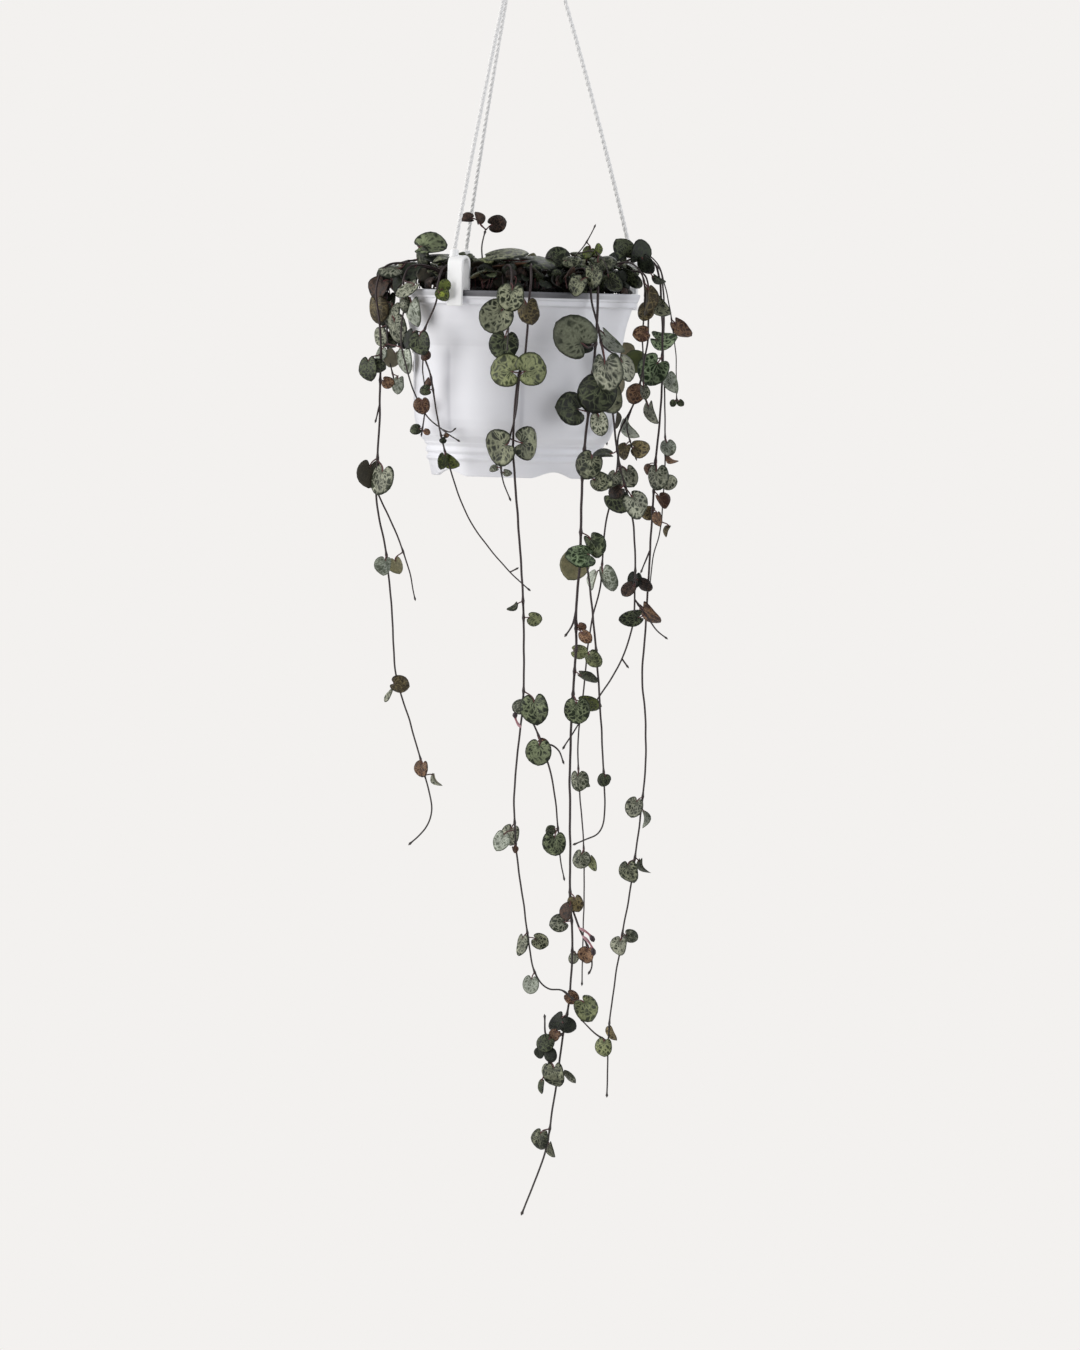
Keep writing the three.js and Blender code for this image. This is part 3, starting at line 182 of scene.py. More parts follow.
# Each vine's root in the mix and radius, its stems as lists of [x, y, z], the first of which starts in the
# mix, and its leaves as [x, y, z, width, lean, turn, tone, tilt]. lean turns a leaf's tip in the front view,
# from straight down towards +X, turn swings the blade about its own length and tilt, where there is one, tips
# it forward.
VINES = {
    "vine_far_left": {
        "root": (-46, -12),
        "stem": 0.7,
        "routes": [
            [
                (-58, -13, -199), (-67, -14, -198), (-74, -16, -200), (-78, -17, -210), (-76, -17, -232),
                (-76, -16, -255), (-77, -16, -290), (-78, -16, -318), (-73, -16, -348), (-70, -16, -380),
                (-68, -16, -409), (-61, -16, -433), (-55, -16, -454), (-50, -16, -478), (-53, -16, -487),
                (-62, -16, -496),
            ],
            [(-76, -16, -314), (-68, -14, -336), (-62, -14, -354), (-58, -14, -371)],
            [(-76, -16, -270), (-79, -16, -280)],
        ],
        "leaves": [
            (-60, -17, -203, 13, -20, 25, "n", 30), (-67, -17, -207, 12, -50, 60, "n"),
            (-71, -17, -201, 14, -88, 62, "s"), (-82, -19, -252, 13, 10, 40, "d", 10),
            (-82, -13, -306, 15, -8, 160, "d"), (-76, -20, -309, 17, -15, 46, "s"),
            (-74, -20, -353, 10, -8, -25, "w"), (-66, -19, -414, 10, 75, 20, "o"),
            (-72, -14, -259, 7, 70, 20, "r"), (-68, -11, -353, 9, 15, 150, "p"),
            (-72, -14, -419, 9, -32, 76, "s"), (-55, -19, -457, 9, -5, 35, "r"),
            (-48, -14, -463, 8, 25, 74, "s"), (-77, -20, -251, 8, 60, 20, "d"),
        ],
    },
    "vine_left_inner": {
        "root": (-44, -22),
        "stem": 0.6,
        "routes": [
            [
                (-54, -25, -199), (-61, -29, -200), (-64, -31, -207), (-63, -31, -217), (-65, -30, -228),
                (-65, -30, -240), (-60, -30, -260), (-53, -34, -275), (-44, -39, -283), (-35, -46, -289),
            ],
            [(-53, -34, -275), (-55, -34, -287)],
            [(-44, -39, -282), (-40, -43, -284), (-37, -46, -282)],
        ],
        "leaves": [
            (-62, -36, -212, 14, -56, 62, "s"), (-60, -37, -223, 16, 3, 60, "w"),
            (-65, -34, -219, 9, -10, 55, "s"), (-55, -38, -271, 9, 0, 10, "r"),
            (-58, -34, -283, 6, -75, 20, "d"), (-52, -36, -284, 4, 60, 30, "r"),
        ],
    },
    "vine_left_sweeping": {
        "root": (-30, -36),
        "stem": 0.6,
        "routes": [
            [
                (-38, -46, -199), (-44, -54, -201), (-46, -57, -208), (-47, -55, -217), (-53, -51, -232),
                (-54, -48, -242), (-50, -46, -256), (-46, -46, -280), (-40, -46, -303), (-32, -46, -325),
                (-25, -46, -337), (-9, -46, -356), (1, -46, -365),
            ],
            [(-54, -48, -244), (-54, -44, -253), (-53, -43, -262)],
            [(-10, -46, -355), (-5, -48, -353)],
        ],
        "leaves": [
            (-55, -54, -239, 13, 8, 30, "d"), (-60, -46, -237, 11, -20, 50, "n"),
            (-43, -58, -209, 7, 150, 20, "y"), (-44, -58, -214, 8, 10, 15, "y"),
            (-53, -50, -245, 6, -20, 30, "r"), (-52, -44, -259, 6, -30, 50, "r"),
            (-53, -46, -263, 6, -80, 20, "d"), (-44, -47, -288, 4, -70, 30, "d"),
            (-42, -45, -286, 3, 70, 30, "r"), (-43, -49, -299, 9, -8, -45, "y"),
            (-39, -44, -299, 9, 50, 40, "y"), (-44, -60, -214, 3, 60, 10, "l"),
        ],
    },
    "vine_centre": {
        "root": (1, -53),
        "stem": 0.75,
        "routes": [
            [
                (1, -58, -199), (1, -64, -201), (1, -67, -208), (0, -67, -217), (-2, -65, -243),
                (-6, -63, -260), (-8, -60, -290), (-5, -60, -336), (-3, -60, -369), (-3, -60, -421),
                (-7, -60, -458), (-7, -60, -487), (-2, -60, -530), (4, -60, -561), (10, -60, -567),
                (17, -60, -568), (23, -60, -573),
            ],
            [(-5, -64, -253), (-8, -64, -280), (-14, -62, -299), (-13, -61, -309), (-9, -61, -319)],
            [(-2, -60, -423), (3, -58, -434), (12, -53, -462), (16, -49, -502), (18, -49, -513)],
            [(6, -56, -444), (11, -57, -443), (15, -57, -446), (18, -57, -453)],
        ],
        "leaves": [
            (-13, -69, -252, 18, -106, 5, "p", -25), (2, -70, -252, 18, 106, -5, "p", -25),
            (-15, -66, -292, 20, -68, 5, "g", -40), (0, -65, -290, 18, 83, -5, "g", -40),
            (3, -64, -425, 16, 5, 22, "m"), (-5, -56, -423, 9, -65, 30, "s"),
            (-14, -63, -492, 11, -22, 38, "w"), (-10, -56, -489, 11, -14, 30, "s"),
            (-4, -63, -545, 12, -14, 62, "s"), (6, -56, -543, 9, 65, 15, "g"),
            (1, -64, -565, 10, -6, 30, "w"), (30, -64, -577, 14, 32, -28, "p"),
            (5, -62, -447, 14, -5, 10, "m"), (13, -51, -494, 13, 0, 15, "m"),
            (-18, -63, -302, 5, -80, 40, "s"), (-11, -60, -305, 5, 70, 40, "s"),
            (-8, -62, -373, 7, -50, 70, "g"), (3, -62, -379, 8, 75, 15, "p"), (-7, -62, -496, 4, 20, 30, "r"),
            (22, -57, -572, 8, 50, 20, "r"), (8, -54, -442, 7, 55, 55, "r"), (11, -48, -487, 6, -70, 30, "d"),
        ],
    },
    "vine_right_stout": {
        "root": (30, -40),
        "stem": 0.85,
        "routes": [
            [
                (33, -48, -203), (35, -55, -204), (35, -59, -210), (35, -59, -216), (34, -57, -239),
                (30, -55, -274), (27, -55, -309), (26, -55, -347), (24, -55, -374), (24, -55, -392),
                (21, -55, -444), (21, -55, -494), (21, -55, -520), (22, -55, -540), (21, -55, -568),
                (17, -55, -594), (13, -55, -622), (8, -55, -651), (2, -55, -668), (-4, -55, -683),
            ],
            [(34, -57, -239), (30, -60, -241), (27, -62, -240)],
            [
                (26, -55, -342), (30, -57, -355), (32, -58, -372), (36, -58, -421), (38, -58, -458),
                (38, -58, -482), (35, -58, -488), (29, -58, -491), (22, -56, -494),
            ],
            [(24, -55, -374), (22, -57, -382), (18, -58, -388)],
            [(21, -55, -523), (25, -57, -535), (31, -58, -548), (32, -58, -556), (30, -58, -560)],
            [(17, -55, -590), (13, -57, -592), (9, -58, -591), (8, -58, -580)],
            [(10, -58, -592), (9, -58, -598), (11, -57, -606)],
        ],
        "leaves": [
            (33, -62, -205, 13, 10, 45, "g"), (25, -60, -210, 12, -30, 40, "g"),
            (22, -66, -235, 23, -128, -15, "b"), (34, -60, -265, 21, -35, 10, "d"),
            (21, -56, -272, 18, -90, 10, "d", 35), (36, -59, -280, 13, 8, 42, "s"),
            (30, -59, -301, 15, -25, 20, "g"), (37, -52, -310, 12, 65, 30, "g"),
            (23, -52, -352, 16, -25, 168, "p"), (26, -63, -346, 16, -78, 42, "v", 20),
            (33, -57, -342, 14, 25, 40, "m"), (32, -66, -400, 10, 30, 35, "p"),
            (30, -59, -409, 12, 66, 66, "d"), (24, -61, -426, 14, 0, 12, "m"),
            (31, -51, -422, 13, 78, 50, "y"), (15, -52, -534, 10, -80, 15, "s"),
            (20, -62, -528, 10, -15, 50, "k"), (20, -60, -586, 9, 60, 15, "n"),
            (15, -51, -585, 11, -40, 45, "n"), (8, -63, -595, 10, -40, 25, "d"),
            (13, -62, -611, 13, 8, 30, "g"), (9, -55, -610, 9, -8, 50, "s"), (5, -59, -644, 11, -12, 35, "g"),
            (11, -52, -650, 9, 16, 60, "g"), (28, -56, -240, 9, -80, 30, "n"),
            (27, -57, -383, 5, 60, 30, "r"), (29, -58, -388, 8, 40, 35, "r"), (26, -52, -396, 9, 80, 30, "p"),
            (38, -60, -461, 7, -20, 10, "d"), (40, -56, -460, 4, 60, 30, "d"),
            (24, -58, -524, 9, 15, 20, "o"), (29, -61, -550, 9, -10, 15, "r"),
            (23, -53, -552, 7, -25, 40, "s"), (13, -59, -591, 7, -30, 30, "r"),
            (5, -58, -600, 6, -20, 20, "n"), (11, -62, -601, 8, 10, 30, "n"), (6, -60, -617, 8, -8, 68, "d"),
            (20, -53, -613, 9, 40, 70, "s"),
        ],
    },
    "vine_right_looped": {
        "root": (24, -30),
        "stem": 0.7,
        "routes": [
            [
                (26, -40, -201), (29, -49, -202), (31, -53, -209), (32, -53, -218), (37, -50, -240),
                (42, -42, -270), (46, -36, -300), (52, -34, -324), (54, -34, -340), (54, -34, -369),
                (53, -34, -382), (47, -34, -401), (38, -36, -416), (30, -38, -427), (24, -42, -435),
                (17, -48, -446),
            ],
            [(37, -50, -240), (41, -48, -243), (45, -46, -245)],
            [(47, -34, -400), (51, -32, -405)],
            [(54, -34, -370), (60, -32, -378), (65, -31, -385), (71, -31, -390)],
        ],
        "leaves": [
            (42, -46, -238, 17, 42, 66, "w"), (39, -68, -254, 21, 4, 40, "s"),
            (49, -40, -252, 15, 28, -50, "s"), (41, -45, -267, 17, 12, 25, "g"),
            (37, -41, -295, 12, -88, 68, "d"), (46, -38, -319, 15, 55, 35, "d"),
            (55, -43, -321, 15, 30, -30, "s"), (51, -33, -307, 12, 20, 20, "s"),
            (43, -44, -308, 9, -20, 35, "s"), (52, -37, -380, 13, -76, 50, "d"),
            (61, -28, -378, 14, 38, 60, "r"), (44, -44, -314, 9, -60, 30, "k"),
            (54, -31, -360, 9, -10, 30, "n"), (51, -37, -365, 9, -45, 40, "k"),
            (59, -32, -363, 9, 48, 45, "k"),
        ],
    },
    "vine_right_thin": {
        "root": (38, -12),
        "stem": 0.6,
        "routes": [
            [
                (46, -16, -203), (54, -21, -202), (59, -23, -204), (61, -24, -211), (61, -23, -228),
                (60, -22, -242), (54, -22, -269), (46, -22, -285), (45, -22, -303), (39, -22, -332),
                (36, -22, -365), (32, -22, -381), (28, -22, -415), (25, -22, -446), (28, -22, -497),
                (28, -22, -528), (27, -22, -568),
            ],
            [(52, -22, -273), (50, -24, -281), (52, -25, -290), (55, -26, -299)],
        ],
        "leaves": [
            (53, -21, -206, 14, 50, 60, "d"), (54, -26, -265, 11, -45, 25, "r"),
            (51, -20, -283, 13, 28, 62, "w"), (57, -31, -293, 10, 80, 15, "o"),
            (33, -24, -360, 11, -16, 70, "w"), (39, -27, -360, 15, 20, 56, "w"),
            (25, -26, -463, 11, 0, 30, "s"), (26, -26, -503, 10, -18, 20, "s"),
            (48, -28, -294, 9, -20, 40, "o"), (29, -20, -464, 6, 40, 50, "d"),
            (33, -22, -505, 9, 24, 58, "p"),
        ],
    },
    "vine_right_outer": {
        "root": (42, 2),
        "stem": 0.7,
        "routes": [
            [
                (50, 2, -197), (58, 0, -195), (64, -4, -198), (67, -8, -207), (68, -10, -227),
                (68, -11, -264), (65, -11, -299), (62, -11, -346), (60, -11, -380), (58, -11, -408),
                (60, -11, -436), (59, -11, -464), (52, -11, -518), (47, -11, -547), (41, -11, -589),
                (40, -11, -626),
            ],
            [(40, -11, -597), (34, -12, -593), (26, -13, -585)],
            [(62, -11, -345), (57, -14, -357)],
        ],
        "leaves": [
            (63, -18, -253, 17, -35, 15, "v"), (54, -8, -249, 13, -75, 160, "v"),
            (65, -15, -308, 14, -4, 40, "s"), (54, -14, -477, 11, -22, 30, "s"),
            (60, -8, -483, 9, 6, 70, "w"), (51, -15, -510, 12, 8, 32, "g"), (46, -15, -548, 10, -12, 30, "s"),
            (38, -15, -600, 10, -6, 25, "p"), (72, -9, -310, 9, 88, 20, "s"), (60, -8, -303, 6, -30, 55, "r"),
            (68, -14, -320, 9, 30, 40, "r"), (61, -9, -326, 8, -80, 15, "o"), (66, -17, -329, 8, 10, 50, "r"),
            (57, -9, -508, 9, 20, 68, "d"), (52, -9, -544, 8, 60, 25, "s"), (43, -9, -593, 9, 26, 62, "o"),
        ],
    },
    "vine_right_lower": {
        "root": (40, 14),
        "stem": 0.55,
        "routes": [
            [
                (50, 15, -198), (61, 14, -197), (67, 10, -201), (69, 5, -212), (69, 4, -247), (70, 4, -288),
                (69, 4, -316), (67, 3, -337), (64, 2, -347), (62, 2, -366),
            ],
        ],
        "leaves": [
            (69, 0, -238, 14, 78, 45, "v"), (71, 0, -260, 12, 15, 52, "w"), (73, 7, -259, 9, 8, 66, "d"),
            (71, 1, -293, 9, 10, 20, "w"), (73, 6, -299, 7, 50, 65, "r"), (70, 5, -335, 7, -28, 68, "o"),
        ],
    },
    "twig_right_tip": {
        "root": (36, 26),
        "stem": 0.45,
        "routes": [
            [(48, 27, -196), (59, 26, -193), (66, 22, -198), (70, 19, -210), (75, 16, -240), (76, 16, -270)],
        ],
        "leaves": [
            (78, 13, -232, 13, 45, 52, "r"), (74, 16, -270, 4, -40, 20, "d"), (78, 16, -270, 4, 40, 20, "d"),
        ],
    },
    "shoot_upright": {
        "root": (-24, -24),
        "stem": 0.6,
        "routes": [
            [(-24, -26, -197), (-24, -27, -190), (-22, -27, -181)],
        ],
        "leaves": [
            (-16, -27, -178, 10, 100, 20, "k"), (-32, -27, -175, 8, -88, 50, "k"),
            (-26, -30, -175, 7, -165, 45, "k"),
        ],
    },
    "shoot_left_crown": {
        "root": (-40, 10),
        "stem": 0.6,
        "routes": [
            [(-46, 6, -197), (-54, 2, -196), (-62, -2, -197), (-69, -6, -199), (-75, -7, -202)],
            [(-52, 4, -197), (-57, 2, -189)],
            [(-44, 7, -198), (-38, -1, -195), (-28, -9, -195)],
        ],
        "leaves": [
            (-50, -2, -189, 18, 96, -50, "m"), (-56, -4, -196, 14, 3, 62, "g"),
            (-50, -6, -203, 13, 110, -45, "g"), (-47, -6, -194, 15, 92, -80, "n"),
        ],
    },
    "shoot_left_hanging": {
        "root": (-46, 2),
        "stem": 0.6,
        "routes": [
            [
                (-56, 0, -203), (-66, -3, -205), (-72, -6, -211), (-73, -9, -226), (-72, -9, -244),
                (-68, -9, -264),
            ],
        ],
        "leaves": [
            (-77, -5, -211, 14, -30, 40, "k"), (-78, -12, -222, 15, 5, 44, "o"),
            (-68, -18, -232, 16, 10, 52, "s"), (-71, -14, -224, 14, -15, 54, "s"),
            (-76, -5, -236, 11, 5, 50, "s"), (-76, -10, -245, 9, -20, 50, "w"),
            (-70, -9, -247, 10, -20, 160, "w"), (-64, -16, -248, 15, 5, 58, "w"),
            (-68, -13, -260, 10, -15, 50, "w"), (-74, -3, -205, 9, 30, 20, "n"),
            (-68, -3, -209, 9, -20, 30, "k"), (-73, -5, -228, 9, 20, 20, "n"),
            (-72, -5, -217, 9, -10, 20, "n"), (-65, -5, -238, 9, 10, 20, "n"),
            (-72, -5, -238, 9, 30, 30, "d"),
        ],
    },
    "shoot_front_leaves": {
        "root": (-13, -53),
        "stem": 0.6,
        "routes": [
            [(-11, -58, -199), (-9, -65, -201), (-9, -69, -208), (-10, -68, -220), (-11, -67, -243)],
        ],
        "leaves": [
            (-17, -73, -226, 18, -40, 10, "g"), (-9, -77, -216, 15, -8, 15, "g"),
            (-1, -71, -223, 14, 5, 35, "o"), (-13, -64, -240, 16, -12, 10, "d"),
        ],
    },
    "shoot_centre_crown": {
        "root": (-6, -26),
        "stem": 0.6,
        "routes": [
            [(-7, -31, -199), (-11, -37, -197), (-16, -43, -196)],
            [(-6, -28, -201), (3, -33, -197), (12, -39, -195)],
        ],
        "leaves": [
            (-11, -46, -193, 24, 97, -76, "g"), (-12, -35, -199, 20, -84, 72, "d"),
            (-11, -43, -201, 22, -84, 112, "r"), (5, -43, -197, 22, 86, -72, "d"),
            (15, -33, -195, 13, 120, -20, "d"), (3, -42, -203, 17, 80, -70, "n"),
        ],
    },
    "shoot_spiky": {
        "root": (17, -25),
        "stem": 0.5,
        "routes": [
            [(20, -31, -198), (24, -37, -194), (29, -41, -188), (34, -44, -178)],
            [(25, -38, -193), (33, -45, -192), (38, -51, -197), (41, -54, -205)],
        ],
        "leaves": [
            (39, -47, -197, 12, 100, -50, "g"), (43, -59, -208, 12, 40, 45, "d"),
            (30, -41, -193, 7, -30, 30, "y"), (35, -45, -191, 7, 160, 50, "y"),
            (22, -39, -197, 11, 90, -55, "g"),
        ],
    },
    "shoot_right_crown": {
        "root": (34, -8),
        "stem": 0.6,
        "routes": [
            [(40, -8, -197), (46, -9, -195), (53, -10, -195), (60, -12, -199)],
        ],
        "leaves": [
            (48, -11, -191, 13, -150, 30, "d"), (57, -12, -192, 14, 165, 40, "n"),
            (60, -16, -199, 11, 30, 40, "n"), (44, -10, -195, 13, -70, 66, "n"),
            (66, -16, -207, 8, 55, 60, "d"),
        ],
    },
    "shoot_right_hanging": {
        "root": (38, -22),
        "stem": 0.6,
        "routes": [
            [
                (47, -26, -198), (54, -31, -199), (58, -36, -205), (59, -36, -215), (58, -34, -237),
                (59, -32, -264), (61, -32, -273),
            ],
        ],
        "leaves": [
            (59, -36, -223, 10, -20, 30, "o"), (61, -41, -217, 16, 0, 68, "o"),
            (57, -38, -234, 9, -80, 15, "r"), (67, -32, -221, 12, 30, 45, "g"),
            (62, -37, -275, 13, 16, 64, "s"), (59, -36, -264, 8, 10, 50, "s"),
        ],
    },
}


# Shapes


class Skin:
    """Grids of points that become one mesh. Points that coincide are merged, which closes seams and poles."""

    def __init__(self, name):
        self.name = name
        self.points = []
        self.quads = []
        self.paints = []
        self.values = {}
        self.count = 0

    def grid(self, points, flip=False, paint=0, **values):
        """Adds rows by columns of points, the last column joined to the first. A face looks along the cross
        product of the way along its row and the way to the next row, or against it with flip. paint is the
        number of its finish, and each of values becomes an attribute of the points."""
        points = np.asarray(points, float)
        rows, columns = points.shape[:2]
        index = np.arange(rows * columns).reshape(rows, columns) + self.count
        index = np.hstack([index, index[:, :1]])
        corners = (index[:-1, :-1], index[:-1, 1:], index[1:, 1:], index[1:, :-1])
        quads = np.stack(corners, -1).reshape(-1, 4)
        self.quads.append(quads[:, ::-1] if flip else quads)
        self.paints.append(np.full(len(quads), paint))
        self.points.append(points.reshape(-1, 3))
        self.count += rows * columns
        for name, value in values.items():
            spread = np.broadcast_to(np.asarray(value, float), (rows, columns, 3)).reshape(-1, 3)
            self.values.setdefault(name, []).append(spread)

    def mesh(self):
        """The mesh: quads that lost a corner in the merge become triangles, and thinner ones are dropped."""
        points = np.concatenate(self.points)
        cells = np.round(points / MERGE).astype(np.int64)
        _, first, place = np.unique(cells, axis=0, return_index=True, return_inverse=True)
        quads = place.reshape(-1)[np.concatenate(self.quads)]
        paints = np.concatenate(self.paints)
        same = quads == np.roll(quads, -1, axis=1)
        lost = same.sum(axis=1)
        whole, cut = quads[lost == 0], quads[lost == 1]
        triangles = cut[~same[lost == 1]].reshape(-1, 3)
        mesh = bpy.data.meshes.new(self.name)
        mesh.from_pydata(points[first] * MM, [], whole.tolist() + triangles.tolist())
        mesh.polygons.foreach_set("material_index", np.r_[paints[lost == 0], paints[lost == 1]])
        for name, parts in self.values.items():
            layer = mesh.attributes.new(name, "FLOAT_VECTOR", "POINT")
            layer.data.foreach_set("vector", np.concatenate(parts)[first].ravel())
        mesh.shade_smooth()
        return mesh


def added(name, data):
    """A new object in the scene, made of a mesh, camera or lamp."""
    thing = bpy.data.objects.new(name, data)
    bpy.context.scene.collection.objects.link(thing)
    return thing


def wear(mesh, finishes, replaced=(), crease=None):
    """Makes a mesh a piece of the model, with its finishes. Edges sharper than crease degrees stay sharp."""
    piece = added(mesh.name, mesh)
    for finish in finishes:
        mesh.materials.append(finish)
    if crease:
        mesh.set_sharp_from_angle(angle=math.radians(crease))
    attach(piece, "root")
    if replaced:
        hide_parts(*replaced)
    return piece


def unit(vectors):
    """Vectors divided by their lengths."""
    return vectors / np.linalg.norm(vectors, axis=-1, keepdims=True)


def level(azimuth):
    """The level direction at an azimuth in radians from +X: its cosine and its sine."""
    return np.array([math.cos(azimuth), math.sin(azimuth), 0.0])


def nearest(points, target):
    """The one of some points that is nearest to a target."""
    return points[np.linalg.norm(points - target, axis=1).argmin()]


def lengths(curve):
    """The length along a line up to each of its points, the sum of the steps before it."""
    return np.r_[0, np.cumsum(np.linalg.norm(np.diff(curve, axis=0), axis=1))]


def points_at(curve, marks):
    """The points of a line at some lengths along it, between its own points in straight lines."""
    arc = lengths(curve)
    return np.stack([np.interp(marks, arc, curve[:, k]) for k in range(3)], -1)


def spaced(curve, step):
    """The same line with its points about step apart."""
    length = lengths(curve)[-1]
    count = max(3, int(round(length / step)) + 1)
    return points_at(curve, np.linspace(0, length, count))


def curve_through(points, step):
    """The centripetal Catmull-Rom curve through points, as points about step apart. Between two knots it is a
    cubic whose end tangents come from a spline with knots the square root of the distance apart."""
    p = np.asarray(points, float)
    p = np.vstack([2 * p[0] - p[1], p, 2 * p[-1] - p[-2]])
    gap = np.linalg.norm(np.diff(p, axis=0), axis=1)[:, None] ** 0.5
    a, b, c, d = p[:-3], p[1:-2], p[2:-1], p[3:]
    before, here, after = gap[:-2], gap[1:-1], gap[2:]
    leave = ((b - a) / before - (c - a) / (before + here) + (c - b) / here) * here
    reach = ((c - b) / here - (d - b) / (here + after) + (d - c) / after) * here
    t = np.linspace(0, 1, 17)[:-1, None, None]
    curve = b + leave * t + (3 * (c - b) - 2 * leave - reach) * t**2 + (2 * (b - c) + leave + reach) * t**3
    curve = np.vstack([curve.transpose(1, 0, 2).reshape(-1, 3), p[-2]])
    return spaced(curve, step)


def angles(count):
    """Some angles spread evenly round a circle."""
    return np.linspace(0, FULL_TURN, count, endpoint=False)


def circle(sides):
    """The unit circle as points, counter-clockwise."""
    angle = angles(sides)
    return np.stack([np.cos(angle), np.sin(angle)], -1)


def quarter(share):
    """The height of a quarter circle over shares 0 to 1: it rises steeply from 0 and levels out at 1."""
    return np.sqrt(1 - (1 - share) ** 2)


def carried(path, section, sizes=1.0, sideways=None):
    """A section carried along a path. Each ring lays the section's first number square to the path and to
    sideways, and its second square to both. A collapsed ring closes each end."""
    along = unit(np.gradient(path, axis=0))
    if sideways is None:
        sideways = np.eye(3)[np.abs(along).max(axis=0).argmin()]
    across = unit(np.cross(along, sideways))
    second = np.cross(along, across)
    sizes = np.broadcast_to(np.asarray(sizes, float).reshape(-1, 1, 1), (len(path), 1, 1))
    rings = section[..., :1] * across[:, None] + section[..., 1:] * second[:, None]
    rings = path[:, None] + sizes * rings
    width = rings.shape[1]
    return np.concatenate([[np.tile(path[0], (width, 1))], rings, [np.tile(path[-1], (width, 1))]])


def ended(values):
    """Values along a path, repeated at both ends for the collapsed rings there."""
    return np.concatenate([values[:1], values, values[-1:]])


def rounded(profile, radius):
    """An open outline with each corner replaced by a quadratic curve of four points that starts radius before
    it, or a bit less than half an edge away where the edge is short."""
    p = np.asarray(profile, float)
    before, corner, after = p[:-2], p[1:-1], p[2:]
    reach_in = np.linalg.norm(before - corner, axis=1, keepdims=True)
    reach_out = np.linalg.norm(after - corner, axis=1, keepdims=True)
    start = corner + (before - corner) * np.minimum(0.45, radius / reach_in)
    end = corner + (after - corner) * np.minimum(0.45, radius / reach_out)
    t = np.linspace(0, 1, 4)[:, None, None]
    bends = (1 - t) ** 2 * start + 2 * t * (1 - t) * corner + t**2 * end
    return np.vstack([p[:1], bends.transpose(1, 0, 2).reshape(-1, 2), p[-1:]])


def filled(profile, step):
    """An outline with points added so that none is further than step from the next."""
    parts = [
        np.linspace(a, b, max(2, int(np.linalg.norm(b - a) / step) + 2))[:-1]
        for a, b in zip(profile[:-1], profile[1:])
    ]
    return np.vstack([*parts, profile[-1:]])


def turned(profile, columns):
    """A profile of [radius, z] turned round Z: rows along the profile, columns counter-clockwise."""
    ring = circle(columns)
    radius = np.asarray(profile)[:, :1]
    heights = np.repeat(np.asarray(profile)[:, 1:], columns, axis=1)
    return np.stack([radius * ring[:, 0], radius * ring[:, 1], heights], -1)


def closed(rows):
    """Rows with the first repeated after the last, for a profile that comes back to its start."""
    return np.concatenate([rows, rows[:1]])


def rough(points, size, seed):
    """Smooth random heights, roughly -1 to 1: 2.2 times the mean of twelve sine waves about size long, each
    in a direction of its own."""
    waves = 12
    random = np.random.default_rng(seed)
    ways = unit(random.normal(size=(waves, 3))) * random.uniform(0.7, 1.5, (waves, 1)) * FULL_TURN / size
    return np.sin(np.asarray(points) @ ways.T + random.uniform(0, FULL_TURN, waves)).mean(axis=-1) * 2.2


def hung(points, drop=RIM_Z):
    """Points of the pot, or with drop 0 of the hook, brought from their own upright frame to where they hang:
    lowered by drop and turned about Y by the tilt."""
    x, y, z = np.moveaxis(np.asarray(points, float), -1, 0)
    z = z + drop
    cos, sin = math.cos(HANG_TILT), math.sin(HANG_TILT)
    return np.stack([x * cos + z * sin, y, z * cos - x * sin], -1)


def spun(points, azimuth):
    """Points turned round Z by an azimuth in degrees, with its cosine and sine."""
    x, y, z = np.moveaxis(np.asarray(points, float), -1, 0)
    cos, sin = math.cos(math.radians(azimuth)), math.sin(math.radians(azimuth))
    return np.stack([x * cos - y * sin, x * sin + y * cos, z], -1)


# Finishes


